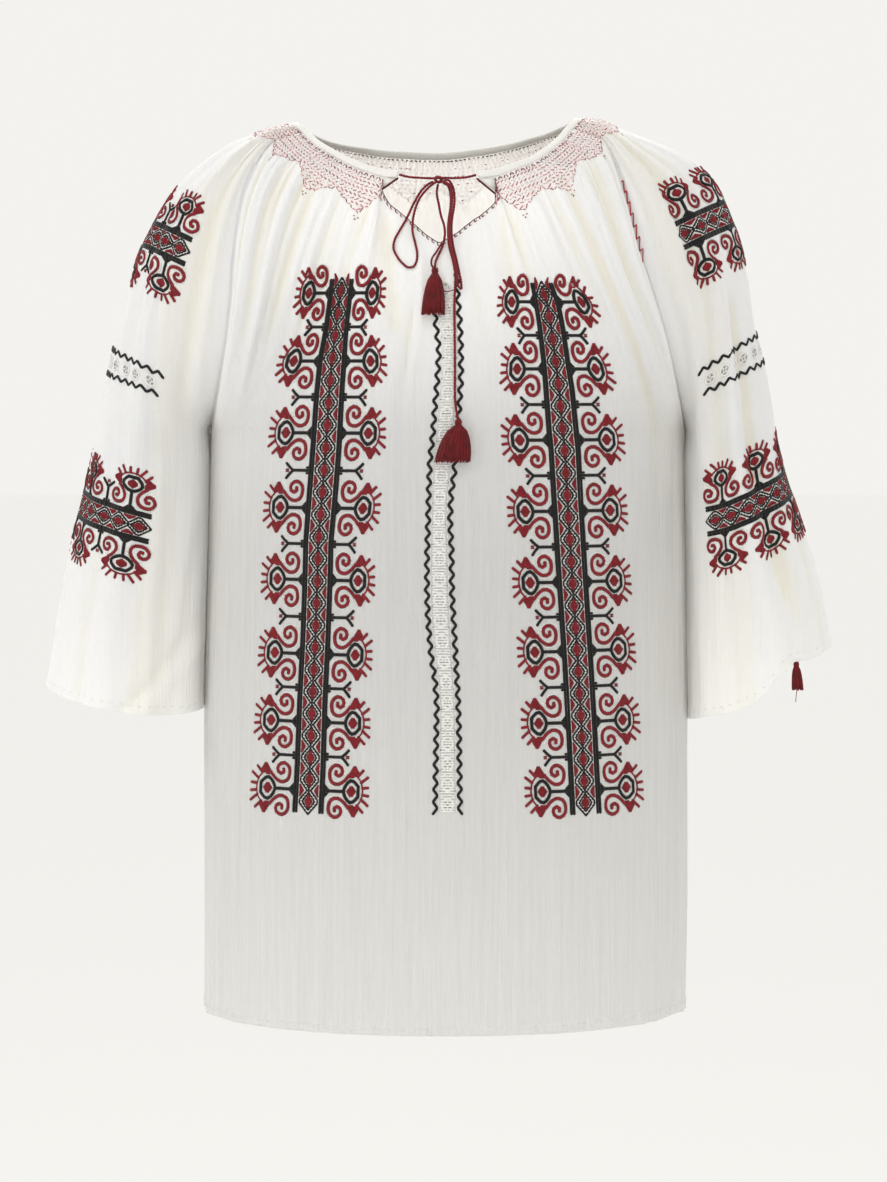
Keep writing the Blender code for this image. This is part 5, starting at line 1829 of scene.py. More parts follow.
def inside_dots(threads, cloth, dice):
    """The back of the smocking: a row of dots along the neck edge and sparse ones below it."""
    run = cloth.run()[3]

    def place(a, b):
        point, normal = cloth.below(float(np.interp(a, run, cloth.shares)), b)
        return point - normal * (SHELL + 0.05), -normal

    for mark in np.arange(8.0, run[-1] - 8.0, DOT_STEP):
        share = float(np.interp(mark, run, cloth.shares))
        colour = "dark" if dice.rand() < 0.75 else "ochre"
        threads.run(colour, place, ((mark - 0.7, 1.7), (mark + 0.7, 1.7)), 1.25, 3.0)
        for distance in np.arange(9.0, smocked(cloth, share) - 2, 7.0):
            if dice.rand() < 0.42:
                colour = ("pink", "ochre", "rose", "grey")[dice.randint(4)]
                shift = mark + dice.uniform(-1.5, 1.5)
                threads.run(colour, place, ((shift - 0.5, distance), (shift + 0.5, distance)), 0.95, 3.0)


SMOCK_SETS = []
DICE = np.random.RandomState(SEED + 1)
for name, spans in (
    ("front", ((-1.0, -0.235), (0.225, 1.0))),
    ("sleeve_right", ((0.0, 1.0),)),
    ("sleeve_left", ((0.0, 1.0),)),
    ("back", ((-1.0, 1.0),)),
):
    sewn = Threads(name + "_smocking", name)
    for low, high in spans:
        smock(sewn, CLOTHS[name], low, high, DICE)
    if name == "back":
        inside_dots(sewn, CLOTHS[name], DICE)
    SMOCK_SETS.append(sewn)
    print(sewn.name, sewn.count(), "stitches")

# %% [markdown]
# ## Centre strip, slit and seam stitches
#
# Between two black zigzag lines down the centre front lies a strip of white openwork. The slit's
# edge has fine overcasting with blanket-stitch ticks. The left front raglan seam shows a red
# zigzag. Hems are turned once and sewn with small running stitches.

# %% Sew the strip, the slit and the seams
ZIGZAG_RIGHT = {
    "z": (
        *(-148.0, -155.8, -182.3, -207.2, -223.0, -243.4, -263.8, -283.5, -310.7),
        *(-338.0, -366.0, -386.0, -412.8, -432.0, -452.0, -484.8, -535.0),
    ),
    "x": (
        *(-8.6, -7.6, -4.6, -6.1, -7.6, -9.1, -11.4, -12.2, -12.9),
        *(-13.7, -13.7, -13.0, -10.7, -7.7, -6.2, -6.9, -7.7),
    ),
}
ZIGZAG_LEFT = {
    "z": (
        *(-120.0, -136.9, -162.7, -182.0, -204.0, -228.3, -252.0, -276.7, -290.3),
        *(-310.7, -331.2, -366.3, -393.0, -419.0, -445.7, -471.8, -535.0),
    ),
    "x": (8.6, 9.2, 11.3, 12.0, 12.0, 10.5, 8.6, 6.7, 4.5, 3.7, 4.8, 5.3, 6.8, 8.3, 9.8, 10.6, 11.4),
}
STRIP_HALF = 9.0
STRIP_CLEAR = 4.0  # how much narrower the openwork is than the space between the zigzags
MOTIF_STEP = 15.7  # from one openwork ring to the next
HEM_STITCHES = 6.2  # how far over the edge a hem is sewn
FRONT_CLOTH = CLOTHS["front"]


def line_at(line, b):
    """The x of a line down the front, at a height."""
    return float(np.interp(b, line["z"][::-1], line["x"][::-1]))


def sew_strip(threads):
    for line in (ZIGZAG_RIGHT, ZIGZAG_LEFT):
        path = zigzag(line["z"][0], line["z"][-1], lambda b, line=line: line_at(line, b), 1.75)
        threads.corners("black", FRONT_CLOTH.seen, path, 2.5)

    def in_strip(a, b):
        right = line_at(ZIGZAG_RIGHT, b)
        left = line_at(ZIGZAG_LEFT, b)
        wide = left - right - STRIP_CLEAR
        return FRONT_CLOTH.seen((left + right) / 2 + a * wide / (2 * STRIP_HALF), b)

    for b in np.arange(-533.0, -134.0, 2.1):
        for off in (-4.2, 0.0, 4.2):
            threads.run("white", in_strip, ((off - 2.2, b), (off + 2.2, b)), 1.5, 9.0)
    openwork(threads, in_strip, np.arange(-528.0, -130.0, MOTIF_STEP), 1.25)
    for b in np.arange(-520.1, -130.0, MOTIF_STEP):
        for side in (-1, 1):
            threads.run("white", in_strip, ((side * 2.0, b), (side * 6.4, b - 1.6)), 1.2, 3.0)
            threads.run("grey", in_strip, ((side * 6.6, b + 3.0), (side * 7.3, b + 3.0)), 0.8, 3.0)
    for b in (-172.3, -269.0, -331.7, -425.9, -488.7):
        threads.run("red", in_strip, ((-4.6, b), (-3.6, b - 0.8)), 0.9, 3.0)
    for side in (-1, 1):
        for b in np.arange(-532.0, -118.0, 5.2):
            threads.run("white", in_strip, ((side * 8.4, b), (side * 8.4, b + 2.6)), 1.0, 3.0)


def sew_slit(threads):
    """Fine dark overcasting along the slit, with a tick every few millimetres."""
    edge = [k for k, share in enumerate(FRONT_CLOTH.shares) if abs(share) < 0.272]
    points = FRONT_CLOTH.grid[0, edge]
    normals = FRONT_CLOTH.facing[0, edge]
    down = unit(FRONT_CLOTH.grid[2, edge] - FRONT_CLOTH.grid[0, edge])
    far = lengths(points)
    for before, after in zip(range(len(edge)), range(1, len(edge))):
        threads.stitch("dark", points[before], points[after], normals[before], 0.85)
    for mark in np.arange(4.0, far[-1] - 3.0, 4.9):
        k = int(np.searchsorted(far, mark))
        long = 2.5
        threads.stitch("dark", points[k] - down[k] * 0.2, points[k] + down[k] * long, normals[k], 0.9)
        side = points[k] + down[k] * long
        threads.stitch("dark", side, side + (points[k] - points[k - 1]) * 0.9, normals[k], 0.8)


def sew_seam(threads):
    """The red zigzag across the left raglan seam."""
    sleeve_cloth = CLOTHS["sleeve_left"]
    rows = np.linspace(0.235, 0.455, 15)
    marks = []
    for k, row in enumerate(rows):
        if k % 2:
            point, normal = sleeve_cloth.at(0.016, row - 0.012)
        else:
            point, normal = FRONT_CLOTH.at(0.982, row)
        marks.append((point + normal * 1.2, normal))
    for before, after in zip(marks, marks[1:]):
        threads.stitch("bright", before[0], after[0], unit(before[1] + after[1]), 1.25)


def sew_hem(threads, cloth):
    """Small running stitches 6 mm above a hem or cuff."""
    ring = int(np.searchsorted(cloth.rows, 2.0))
    for c in range(2, len(cloth.shares) - 2, 3):
        long = cloth.depth[ring, c]
        first = cloth.below(cloth.shares[c], long - HEM_STITCHES)
        second = cloth.below(cloth.shares[c + 1], long - HEM_STITCHES)
        threads.stitch("white", first[0], second[0], first[1], 0.7)


DETAIL_SETS = []
for name, cloth in CLOTHS.items():
    sewn = Threads(name + "_sewing", name)
    if name == "front":
        sew_strip(sewn)
        sew_slit(sewn)
        sew_seam(sewn)
    sew_hem(sewn, cloth)
    DETAIL_SETS.append(sewn)
    print(sewn.name, sewn.count(), "stitches")
ALL_THREADS = [FRONT] + SLEEVE_SETS + SMOCK_SETS + DETAIL_SETS

# %% [markdown]
# ## Lay the threads
#
# All charts are sewn, so one node tree now lays each colour of each set as a mesh.

# %% Lay every set of stitches
THREAD_PIECE = thread_mesh()
TREE, FINISH_INPUT = laying_tree(THREAD_PIECE)
SEWN = {}
for threads in ALL_THREADS:
    laid = lay_threads(threads, TREE, FINISH_INPUT)
    SEWN.setdefault(threads.cloth_name, []).extend(laid)


# %% [markdown]
# ## Binding
#
# The gathered edge is bound with one rolled strip. It stands on the cloth from one slit corner round
# the neck to the other, is lightly puckered, and ends in a small web at each corner.

# %% Roll the binding
BINDING_STEP = 1.3
BINDING_SIDES = 14
PUCKER = 0.22


def neck_line():
    """The neck edge from the right slit corner round to the left one, with directions out and up."""
    spans = (
        ("front", -SLIT_SHARE, -1.0),
        ("sleeve_right", 0.04, 0.96),
        ("back", -1.0, 1.0),
        ("sleeve_left", 0.96, 0.04),
        ("front", 1.0, SLIT_SHARE),
    )
    points = []
    outs = []
    ups = []
    for name, start, finish in spans:
        cloth = CLOTHS[name]
        low, high = min(start, finish) - 1e-6, max(start, finish) + 1e-6
        keep = [k for k, share in enumerate(cloth.shares) if low <= share <= high]
        if start > finish:
            keep = keep[::-1]
        points.extend(cloth.grid[0, keep])
        outs.extend(cloth.facing[0, keep])
        ups.extend(unit(cloth.grid[0, keep] - cloth.grid[3, keep]))
    fields = []
    for field, reach in ((np.array(points), 5), (np.array(outs), 12), (np.array(ups), 12)):
        padded = np.concatenate([np.repeat(field[:1], reach, 0), field, np.repeat(field[-1:], reach, 0)])
        sums = np.cumsum(np.concatenate([np.zeros((1, 3)), padded]), axis=0)
        fields.append((sums[2 * reach + 1 :] - sums[: -2 * reach - 1]) / (2 * reach + 1))
    far = lengths(fields[0])
    even = np.linspace(0, far[-1], int(far[-1] / BINDING_STEP))
    line, out, up = [np.stack([np.interp(even, far, c) for c in field.T], -1) for field in fields]
    out = unit(out)
    up = unit(up - out * np.sum(up * out, axis=1, keepdims=True))
    return line - out * 0.6, out, up


def tube_faces(rings, sides):
    """Faces of a closed tube of rings, with its two ends."""
    faces = [tuple(range(sides))[::-1]]
    for r in range(rings - 1):
        for k in range(sides):
            nxt = (k + 1) % sides
            faces.append((r * sides + k, r * sides + nxt, (r + 1) * sides + nxt, (r + 1) * sides + k))
    faces.append(tuple(range((rings - 1) * sides, rings * sides)))
    return faces


def merge(parts):
    """One list of points and faces from several."""
    points = []
    faces = []
    for more, its_faces in parts:
        base = len(points)
        points.extend(more)
        faces.extend(tuple(base + int(v) for v in face) for face in its_faces)
    return points, faces


def web(corners, thick):
    """A flat closed piece of cloth between three or four corners."""
    corners = np.array(corners, float)
    out = unit(np.cross(corners[1] - corners[0], corners[2] - corners[0])) * thick / 2
    count = len(corners)
    faces = [tuple(range(count)), tuple(range(count, 2 * count))[::-1]]
    for k in range(count):
        nxt = (k + 1) % count
        faces.append((k, k + count, nxt + count, nxt))
    return np.concatenate([corners + out, corners - out]), faces


def roll_binding():
    line, out, up = neck_line()
    turns = np.arange(BINDING_SIDES) * 2 * np.pi / BINDING_SIDES
    rings = []
    for i, middle in enumerate(line):
        thick = BINDING_THICK / 2 + PUCKER * math.sin(i * 2.3) * 0.6
        tall = BINDING_HEIGHT / 2 + PUCKER * math.sin(i * 2.3 + 1.1)
        centre = middle + up[i] * (BINDING_HEIGHT / 2 - 0.2)
        wide = np.sign(np.cos(turns)) * np.abs(np.cos(turns)) ** 0.8 * thick
        rings.append(centre + out[i] * wide[:, None] + up[i] * (np.sin(turns) * tall)[:, None])
    for end, where in ((BINDING_END_RIGHT, 0), (BINDING_END_LEFT, -1)):
        first = rings[where]
        centre = first.mean(axis=0)
        path = through(np.array([centre, *end]), 7)[1:]
        for k, place in enumerate(path):
            narrow = 1.0 - 0.22 * (k / (len(path) - 1)) ** 2
            ring = place + (first - centre) * narrow
            if where == 0:
                rings.insert(0, ring)
            else:
                rings.append(ring)
    tube = (np.concatenate(rings), tube_faces(len(rings), BINDING_SIDES))
    right = web(((-35.8, -81.6, -49.3), (-47.6, -79.2, -48.6), (-48.0, -80.0, -57.6)), 0.6)
    left = web(((24.2, -81.8, -49.6), (38.9, -80.9, -60.0), (38.3, -78.9, -48.8)), 0.6)
    return merge((tube, right, left))


BINDING = add_piece("binding", *roll_binding(), FINISHES["edge"])
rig.replaces(BINDING, "neck_binding")
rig.slot(BINDING, "cotton_voile")
# The free edges of the two webs. Rows are their upper and lower ends.
WEB_EDGES = (
    ((-36.2, -82.3, -49.9), (-48.2, -80.8, -58.2)),
    ((24.4, -82.6, -50.3), (38.9, -82.0, -62.0)),
)
WEB_STITCHES = 7
EDGE = Threads("slit_edges", "front")
for start, finish in np.array(WEB_EDGES):
    for k in range(WEB_STITCHES):
        before = start + (finish - start) * k / WEB_STITCHES
        after = start + (finish - start) * (k + 1) / WEB_STITCHES
        EDGE.stitch("dark", before, after, np.array((0.0, -1.0, 0.1)), 1.7)
SEWN["front"].extend(lay_threads(EDGE, TREE, FINISH_INPUT))
bpy.data.objects.remove(THREAD_PIECE)
print("binding", len(BINDING.data.polygons), "faces")

# %% [markdown]
# ## Raglan seams
#
# Each seam is felled flat: a narrow fold of cloth lies over the two edges from neck to underarm.

# %% Fell the seams
SEAMS = {
    "seam_front_right": ("front", -1.0, "sleeve_right", 0.0),
    "seam_front_left": ("front", 1.0, "sleeve_left", 0.0),
    "seam_back_right": ("back", -1.0, "sleeve_right", 1.0),
    "seam_back_left": ("back", 1.0, "sleeve_left", 1.0),
}
FELL_FROM = 0.18  # the row where the smocking ends
SEAM_OFFS = (2.6, 1.7, 0.8)
SEAM_LIFT = 0.32


def inward(cloth, end, row, off):
    """A point on a cloth `off` millimetres in from one of its side edges, and its normal."""
    r = int(np.searchsorted(cloth.rows, row))
    run = cloth.run_at[r]
    from_edge = off if end <= cloth.shares[0] else run[-1] - off
    return cloth.at(float(np.interp(from_edge, run, cloth.shares)), row)


def fell(panel_name, panel_end, sleeve_name, sleeve_end):
    """A closed narrow strip over a raglan seam."""
    both = ((CLOTHS[panel_name], panel_end), (CLOTHS[sleeve_name], sleeve_end))
    for cloth, _ in both:
        cloth.run_at = cloth.run()
    rows = np.linspace(FELL_FROM, 0.985, 130)
    outer = []
    inner = []
    for row in rows:
        marks = [inward(*both[0], row, off) for off in SEAM_OFFS]
        first = inward(*both[0], row, 0.0)
        second = inward(*both[1], row, 0.0)
        marks.append(((first[0] + second[0]) / 2, unit(first[1] + second[1])))
        marks += [inward(*both[1], row, off) for off in SEAM_OFFS[::-1]]
        lifts = np.array((-0.1, SEAM_LIFT, SEAM_LIFT, SEAM_LIFT + 0.3, SEAM_LIFT, SEAM_LIFT, -0.1))
        line = np.array([mark[0] + mark[1] * lift for mark, lift in zip(marks, lifts)])
        line[1:-1] = (line[:-2] + 2 * line[1:-1] + line[2:]) / 4
        outer.append(line)
        inner.append(line - np.array([mark[1] for mark in marks]) * 0.55)
    count = len(rows) * 7
    faces = []
    for k in range(len(rows) - 1):
        for c in range(6):
            a = k * 7 + c
            faces.append((a, a + 7, a + 8, a + 1))
            faces.append((a + count, a + 1 + count, a + 8 + count, a + 7 + count))
        for c, turn in ((0, 1), (6, -1)):
            a = k * 7 + c
            faces.append((a, a + count, a + 7 + count, a + 7)[::turn])
    for k, turn in ((0, 1), (len(rows) - 1, -1)):
        for c in range(6):
            a = k * 7 + c
            faces.append((a, a + 1, a + 1 + count, a + count)[::turn])
    points = np.concatenate([np.concatenate(outer), np.concatenate(inner)])
    return points, faces


SEAM_PIECES = {}
for name, seam in SEAMS.items():
    points, faces = fell(*seam)
    piece = add_piece(name, points, faces, FINISHES["voile"])
    fix = bmesh.new()
    fix.from_mesh(piece.data)
    bmesh.ops.recalc_face_normals(fix, faces=fix.faces)
    fix.to_mesh(piece.data)
    fix.free()
    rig.slot(piece, "cotton_voile")
    SEAM_PIECES.setdefault(seam[0], []).append(piece)
    print(name, len(faces), "faces")

# %% [markdown]
# ## Cord, knot and bow
#
# The cord is two strands twisted together, 2 mm thick, so its section is a rounded figure of eight
# that turns as it runs. One length is drawn through the binding's two ends. Its bow and its two
# tails leave the knot.

# %% Twist the cords
CORD_RADIUS = 1.0
KNOT_CENTRE = (-5.0, -84.4, -51.0)
# Routes of the cord's stretches, each through its own points. Rows are x, y, z.
DRAWN_RIGHT = ((-35.2, -81.4, -47.0), (-28.0, -82.4, -48.8), (-19.0, -83.2, -49.6), (-9.4, -83.5, -50.0))
DRAWN_LEFT = ((-1.0, -83.0, -49.6), (8.0, -82.9, -49.8), (16.0, -82.4, -49.2), (23.7, -81.6, -47.4))
BOW_RIGHT = (
    (-9.1, -85.5, -52.7),
    (-12.6, -86.2, -54.4),
    (-17.2, -87.2, -58.6),
    (-23.2, -88.7, -68.0),
    (-29.3, -91.4, -80.9),
    (-35.3, -97.4, -91.6),
    (-38.5, -99.6, -97.8),
    (-39.3, -101.8, -104.0),
    (-37.6, -104.1, -108.5),
    (-32.5, -108.3, -115.5),
    (-27.8, -110.1, -118.8),
    (-24.0, -109.9, -118.2),
    (-21.9, -108.4, -114.6),
    (-21.2, -105.9, -108.6),
    (-22.7, -102.1, -100.2),
    (-24.7, -97.9, -91.6),
    (-24.8, -93.8, -84.6),
    (-23.4, -91.6, -76.0),
    (-20.0, -90.4, -66.8),
    (-14.6, -89.6, -59.4),
    (-10.0, -88.8, -55.2),
    (-6.9, -87.5, -53.0),
)
BOW_LEFT = (
    (-0.9, -86.1, -51.5),
    (2.6, -87.6, -51.7),
    (5.4, -88.8, -55.5),
    (7.0, -89.6, -62.5),
    (7.0, -91.0, -71.0),
    (5.6, -94.2, -79.5),
    (4.9, -99.5, -88.0),
    (5.1, -103.0, -95.0),
    (6.0, -105.6, -101.6),
    (9.0, -112.2, -114.7),
    (10.9, -115.8, -124.0),
    (12.2, -118.2, -131.0),
    (12.0, -119.6, -135.4),
    (10.2, -120.0, -133.6),
    (9.2, -118.0, -124.0),
    (7.4, -114.0, -114.7),
    (4.1, -107.6, -101.6),
    (3.2, -104.6, -92.0),
    (4.0, -98.6, -80.0),
    (5.2, -94.8, -70.0),
    (5.0, -92.8, -61.0),
    (3.4, -91.0, -55.5),
    (0.4, -89.4, -53.4),
    (-2.8, -87.9, -52.3),
)
TAIL_SHORT = (
    (-5.4, -85.6, -54.7),
    (-6.3, -86.6, -60.3),
    (-4.8, -88.6, -70.1),
    (-3.0, -92.2, -79.2),
    (-0.7, -97.4, -86.7),
    (-0.2, -101.6, -94.1),
    (-1.9, -104.6, -102.4),
    (-5.4, -108.0, -110.1),
    (-7.4, -111.4, -115.6),
    (-7.7, -114.0, -119.0),
)
TAIL_LONG = (
    (-1.8, -86.0, -53.5),
    (1.4, -86.5, -55.0),
    (3.6, -87.4, -59.4),
    (4.3, -88.4, -64.0),
    (4.2, -90.2, -71.7),
    (2.8, -94.6, -81.9),
    (2.3, -101.0, -90.5),
    (3.0, -104.0, -101.6),
    (6.2, -110.6, -114.7),
    (7.9, -114.8, -125.5),
    (7.4, -118.3, -136.1),
    (7.1, -122.1, -151.3),
    (7.3, -126.2, -174.0),
    (7.5, -128.6, -197.0),
    (7.6, -130.0, -219.0),
    (8.6, -131.2, -228.0),
    (9.8, -132.4, -233.4),
)
STRAND_TURN = 4.6  # length of one full turn of the two strands
CORD_STEP = 0.45
CORD_SIDES = 10


def frames_along(path):
    """Two directions across a path, at each of its points, that turn as little as they can."""
    way = unit(np.gradient(path, axis=0))
    side = np.cross(way[0], (0.0, 0.3, 1.0))
    side = side / np.linalg.norm(side)
    sides = []
    for direction in way:
        side = side - direction * float(side @ direction)
        side = side / np.linalg.norm(side)
        sides.append(side)
    sides = np.array(sides)
    return sides, np.cross(way, sides)


def tube_along(path, reach):
    """Points and faces of a tube along a path, where `reach` has a row of radii for each point."""
    sides = reach.shape[1]
    side, up = frames_along(path)
    turns = np.arange(sides) * 2 * np.pi / sides
    off = side[:, None, :] * (np.cos(turns) * reach)[..., None]
    off = off + up[:, None, :] * (np.sin(turns) * reach)[..., None]
    return (path[:, None, :] + off).reshape(-1, 3), tube_faces(len(path), sides)


def rope(path, radius=CORD_RADIUS):
    """Points and faces of a two-strand cord along a path."""
    turns = np.arange(CORD_SIDES) * 2 * np.pi / CORD_SIDES
    twist = 2 * np.pi * lengths(path) / STRAND_TURN
    return tube_along(path, radius * (0.93 + 0.12 * np.cos(2 * (turns[None, :] - twist[:, None]))))


def route_path(route):
    return through(route, int(lengths(np.array(route))[-1] / CORD_STEP))


def add_cord(name, route, nodes):
    """A cord's mesh and its path in metres."""
    path = route_path(route)
    points, faces = rope(path)
    piece = add_piece(name, points, faces, FINISHES["cord"])
    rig.slot(piece, "red_thread")
    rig.replaces(piece, *nodes)
    print(name, round(float(lengths(path)[-1]), 1), "mm,", len(faces), "faces")
    return piece, (path * MM).tolist(), float(lengths(path)[-1]) * MM


def tie_knot():
    """Three turns of the cord round the knot's middle, each leaning its own way."""
    parts = []
    for lean, spin, wide, high in ((0.25, 0.2, 2.9, 2.2), (-0.9, 1.2, 2.6, 2.1), (1.1, 2.3, 2.5, 2.2)):
        turn = np.linspace(0, 2 * np.pi, 34)[:-1]
        loop = np.stack([wide * np.cos(turn), 0.7 * np.sin(turn + spin), high * np.sin(turn)], -1)
        tilt = Matrix.Rotation(lean, 3, "Y") @ Matrix.Rotation(0.35 * spin, 3, "Z")
        loop = np.array(KNOT_CENTRE) + loop @ np.array(tilt).T
        parts.append(rope(loop, 1.0))
    return merge(parts)


DRAWN = DRAWN_RIGHT + DRAWN_LEFT
CORDS = {
    "cord_drawn": (DRAWN, ("cord_drawn_right", "cord_drawn_left")),
    "bow_right": (BOW_RIGHT, ("cord_bow_right",)),
    "bow_left": (BOW_LEFT, ("cord_bow_left",)),
    "tail_short": (TAIL_SHORT, ("cord_tail_short",)),
    "tail_long": (TAIL_LONG, ("cord_tail_long",)),
}
MADE_CORDS = {name: add_cord(name, *rest) for name, rest in CORDS.items()}
KNOT = add_piece("knot", *tie_knot(), FINISHES["cord"])
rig.replaces(KNOT, "cord_knot")
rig.slot(KNOT, "red_thread")

# %% [markdown]
# ## Tassels
#
# Each tassel is a bundle of loose threads under a head wound tightly with the same thread. The
# threads fan out, hang to slightly different lengths, and lie over a closed core.

# %% Wind the tassels
TASSELS = {
    # top, head's radius and height, foot seen from the top, foot's half width and depth, threads
    "short": ((-7.7, -116.0, -119.4), 2.6, 5.4, (-1.6, -10.4, -36.0), (8.9, 3.6), 120),
    "long": ((10.0, -134.0, -233.8), 2.7, 5.4, (-4.6, 0.0, -33.0), (13.0, 3.4), 130),
    "cuff": ((272.4, -80.8, -422.5), 2.1, 4.2, (1.2, 0.0, -22.0), (4.4, 3.0), 70),
}
TASSEL_SIDES = 14
HEAD_TURNS = 6  # how often the thread is wound round a head
SKIRT_SHARES = (0.0, 0.16, 0.36, 0.58, 0.8, 1.0)  # places of a loose thread's points down the skirt


def thin_tube(path, radius, sides=4):
    """Points and faces of a thin thread along a path, a little thinner at its lower end."""
    reach = radius * np.linspace(1.0, 0.75, len(path))[:, None]
    return tube_along(path, np.repeat(reach, sides, axis=1))


def skirt_point(tassel, share, turn, fill):
    """A place in the skirt: a share down it, a turn round it and how far out from its middle."""
    top, radius, head, foot, spread, _ = tassel
    bell = math.sin(share * math.pi / 2) ** 0.55
    wide = (radius * 0.8 + (spread[0] - radius * 0.8) * bell) * fill
    deep = (radius * 0.8 + (spread[1] - radius * 0.8) * bell) * fill
    place = np.array(top) + np.array(foot) * share
    place = place + np.array((wide * math.cos(turn), deep * math.sin(turn), 0.0))
    place[2] = top[2] - head * 0.8 + (foot[2] + head * 0.8) * share
    return place


def tassel_parts(tassel, dice):
    """A tassel's core, its head with the thread wound round it, and its loose threads."""
    top, radius, head, _, _, count = tassel
    parts = []
    turns = np.linspace(0, 2 * np.pi, TASSEL_SIDES + 1)[:-1]
    core = []
    for share in (0.0, 0.2, 0.45, 0.7, 0.93):
        core.append([skirt_point(tassel, share, turn, 0.86) for turn in turns])
    parts.append((np.array(core).reshape(-1, 3), tube_faces(len(core), TASSEL_SIDES)))
    middle = []
    for share, wide in ((0.0, 0.5), (0.2, 0.8), (0.6, 0.9), (1.0, 0.7)):
        reach = radius * wide
        ring = [(reach * math.cos(t), reach * math.sin(t), -head * share) for t in turns]
        middle.append([np.array(top) + off for off in ring])
    parts.append((np.array(middle).reshape(-1, 3), tube_faces(len(middle), TASSEL_SIDES)))
    turn = np.linspace(0, 2 * np.pi * HEAD_TURNS, HEAD_TURNS * TASSEL_SIDES)
    share = turn / turn[-1]
    swell = radius * (0.70 + 0.24 * np.sin(np.pi * np.clip(share * 1.1, 0, 1)))
    wind = np.stack([swell * np.cos(turn), swell * np.sin(turn), -head * (0.04 + 0.90 * share)], -1)
    parts.append(thin_tube(np.array(top) + wind, 0.5))
    for k in range(count):
        turn = 2 * np.pi * (k + dice.uniform(-0.4, 0.4)) / count
        fill = dice.uniform(0.86, 1.03)
        long = dice.uniform(0.93, 1.0)
        sway = dice.uniform(-0.10, 0.10)
        path = [skirt_point(tassel, long * s, turn + sway * s, fill) for s in SKIRT_SHARES]
        parts.append(thin_tube(np.array(path), dice.uniform(0.36, 0.5)))
    return parts


# A second strand beside the short tail, a thread that crosses the long one, and the loose thread
# of the cuff's tassel, which is measured from that tassel's top.
STRAND_EYE = (
    (-2.4, -104.0, -100.2),
    (-6.6, -107.2, -107.0),
    (-10.0, -110.6, -112.4),
    (-10.2, -113.6, -117.2),
    (-8.6, -115.6, -119.8),
)
CROSS_THREAD = ((-2.2, -124.6, -136.2), (1.2, -124.0, -137.6), (5.2, -122.4, -136.6), (7.2, -122.2, -136.0))
CUFF_LOOSE = ((0.8, -0.6, -3.0), (2.6, -1.0, -14.0), (0.2, -1.2, -24.0), (-0.4, -1.0, -31.0))
TASSEL_PIECES = {}
DICE = np.random.RandomState(SEED + 2)
for name, tassel in TASSELS.items():
    parts = tassel_parts(tassel, DICE)
    if name == "short":
        parts.append(rope(route_path(STRAND_EYE), 0.8))
        parts.append(thin_tube(route_path(CROSS_THREAD), 0.5, 6))
    if name == "cuff":
        parts.append(thin_tube(np.array(tassel[0]) + route_path(CUFF_LOOSE), 0.4))
    piece = add_piece("threads_" + name, *merge(parts), FINISHES["tassel"])
    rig.replaces(piece, "cuff_tassel" if name == "cuff" else "tassel_" + name)
    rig.slot(piece, "red_thread")
    TASSEL_PIECES[name] = piece
    print(piece.name, len(piece.data.polygons), "faces")

# %% Declare cords and sheets
FAR = {
    "cord_drawn": ("object", [KNOT]),
    "bow_right": ("object", []),
    "bow_left": ("object", []),
    "tail_short": ("fitting", [TASSEL_PIECES["short"]]),
    "tail_long": ("fitting", [TASSEL_PIECES["long"]]),
}
for name, (piece, path, length) in MADE_CORDS.items():
    far_end, extra = FAR[name]
    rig.cord(
        piece,
        exit=path[0],
        length=length,
        diameter=2 * CORD_RADIUS * MM,
        far_end=far_end,
        stiffness="limp",
        lay="taut" if name == "cord_drawn" else "hanging",
        path=path,
        with_pieces=extra,
    )
WITH_CLOTH = {"front": [BINDING], "sleeve_left": [TASSEL_PIECES["cuff"]]}
STRETCH = 0.98  # a panel's area over its flat width times its length, at most
for name, cloth in CLOTHS.items():
    across = np.diff(cloth.grid[:-1], axis=1)
    down = np.diff(cloth.grid[:, :-1], axis=0)
    area = float(np.linalg.norm(np.cross(across, down), axis=2).sum()) * MM * MM
    wide = float(cloth.run()[:, -1].max()) * MM
    long = float(np.median(cloth.depth[-1])) * MM
    long = max(long, area / wide / STRETCH)
    extra = SEWN[name] + SEAM_PIECES.get(name, []) + WITH_CLOTH.get(name, [])
    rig.sheet(CLOTH_PIECES[name], flat=(wide, long), held="gathered", area=area, with_pieces=extra)
    print(name, "flat", round(wide, 3), "by", round(long, 3), "m, area", round(area, 3), "square metres")

# %% [markdown]
# ## Floor, light and camera
#
# The blouse is held up by its wearer, so it hangs clear of a plain pale floor. The light is a wide,
# soft one from the upper left, one from above the camera, which reaches into the neck, and a narrow
# one from behind, which shines through the voile. A weak one by the camera lifts the shade between
# sleeve and body. The camera stands 2.5 m away, level with the chest, and looks down a little.

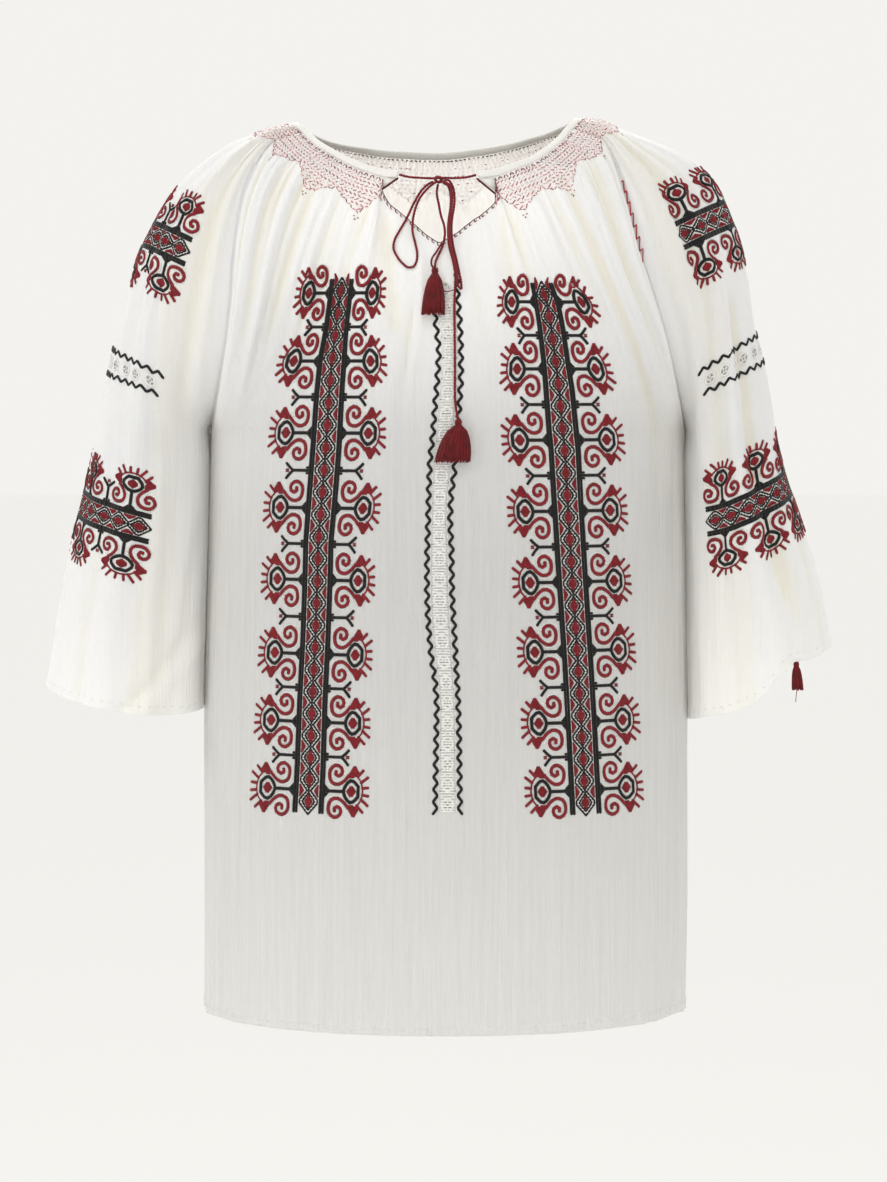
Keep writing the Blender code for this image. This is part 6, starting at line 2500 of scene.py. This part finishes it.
# %% Stage
FLOOR_Z = -1.45
FLOOR_HALF = 30.0
PALE = (0.975, 0.972, 0.965)
WORLD_COLOUR = (1.0, 0.99, 0.957, 1.0)
WORLD_STRENGTH = 0.90
LAMPS = (
    # name, place, size, power, spread in degrees, colour
    ("key", (-2.1, -1.5, 0.9), 0.8, 12.0, 180, (1.0, 0.99, 0.97)),
    ("top", (0.25, -1.35, 1.45), 1.1, 7.0, 180, (1.0, 0.985, 0.965)),
    ("back", (0.0, 1.5, 0.9), 0.9, 4.5, 75, (1.0, 0.975, 0.955)),
    ("front", (-0.5, -2.6, -0.5), 1.4, 5.5, 180, (1.0, 0.99, 0.975)),
)
LAMP_AIM = Vector((0, 0, -0.35))
LENS_MM = 127.13


def stage():
    ground = Finish("pale_floor", PALE, 0.9)
    mesh = bpy.data.meshes.new("floor")
    corners = [(x * FLOOR_HALF, y * FLOOR_HALF, 0) for x, y in ((-1, -1), (1, -1), (1, 1), (-1, 1))]
    mesh.from_pydata(corners, [], [(0, 1, 2, 3)])
    mesh.materials.append(ground.material)
    floor = put("floor", mesh)
    floor.location = (0, 0, FLOOR_Z)
    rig.stage(floor)

    world = bpy.data.worlds.new("studio")
    bpy.context.scene.world = world
    world.use_nodes = True
    back = world.node_tree.nodes["Background"]
    back.inputs["Color"].default_value = WORLD_COLOUR
    back.inputs["Strength"].default_value = WORLD_STRENGTH

    for name, place, size, power, spread, colour in LAMPS:
        light = bpy.data.lights.new(name, "AREA")
        light.size = size
        light.energy = power
        light.color = colour
        light.spread = math.radians(spread)
        lamp = put(name, light)
        lamp.location = place
        aim = LAMP_AIM - Vector(place)
        lamp.rotation_euler = aim.to_track_quat("-Z", "Y").to_euler()


CAMERA_AT = Vector((-0.0012, -2.5, -0.2))
CAMERA_AIM = Vector((-0.0012, 0.0, -0.3728))


def camera():
    lens = bpy.data.cameras.new("camera")
    lens.sensor_fit = "HORIZONTAL"
    lens.sensor_width = 36.0
    lens.lens = LENS_MM
    eye = put("camera", lens)
    eye.location = CAMERA_AT
    eye.rotation_euler = (CAMERA_AIM - CAMERA_AT).to_track_quat("-Z", "Y").to_euler()
    bpy.context.scene.camera = eye


stage()
camera()
bpy.context.scene.view_settings.view_transform = "Standard"

# %% Sizes and finish
END_LOW, END_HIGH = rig.bounds()
with open("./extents.json", "w") as out:
    sizes = {
        "frame": [list(START_LOW), list(START_HIGH)],
        "scene": [list(END_LOW), list(END_HIGH)],
    }
    json.dump(sizes, out)
print("scene", [round(v, 4) for v in END_LOW], [round(v, 4) for v in END_HIGH])
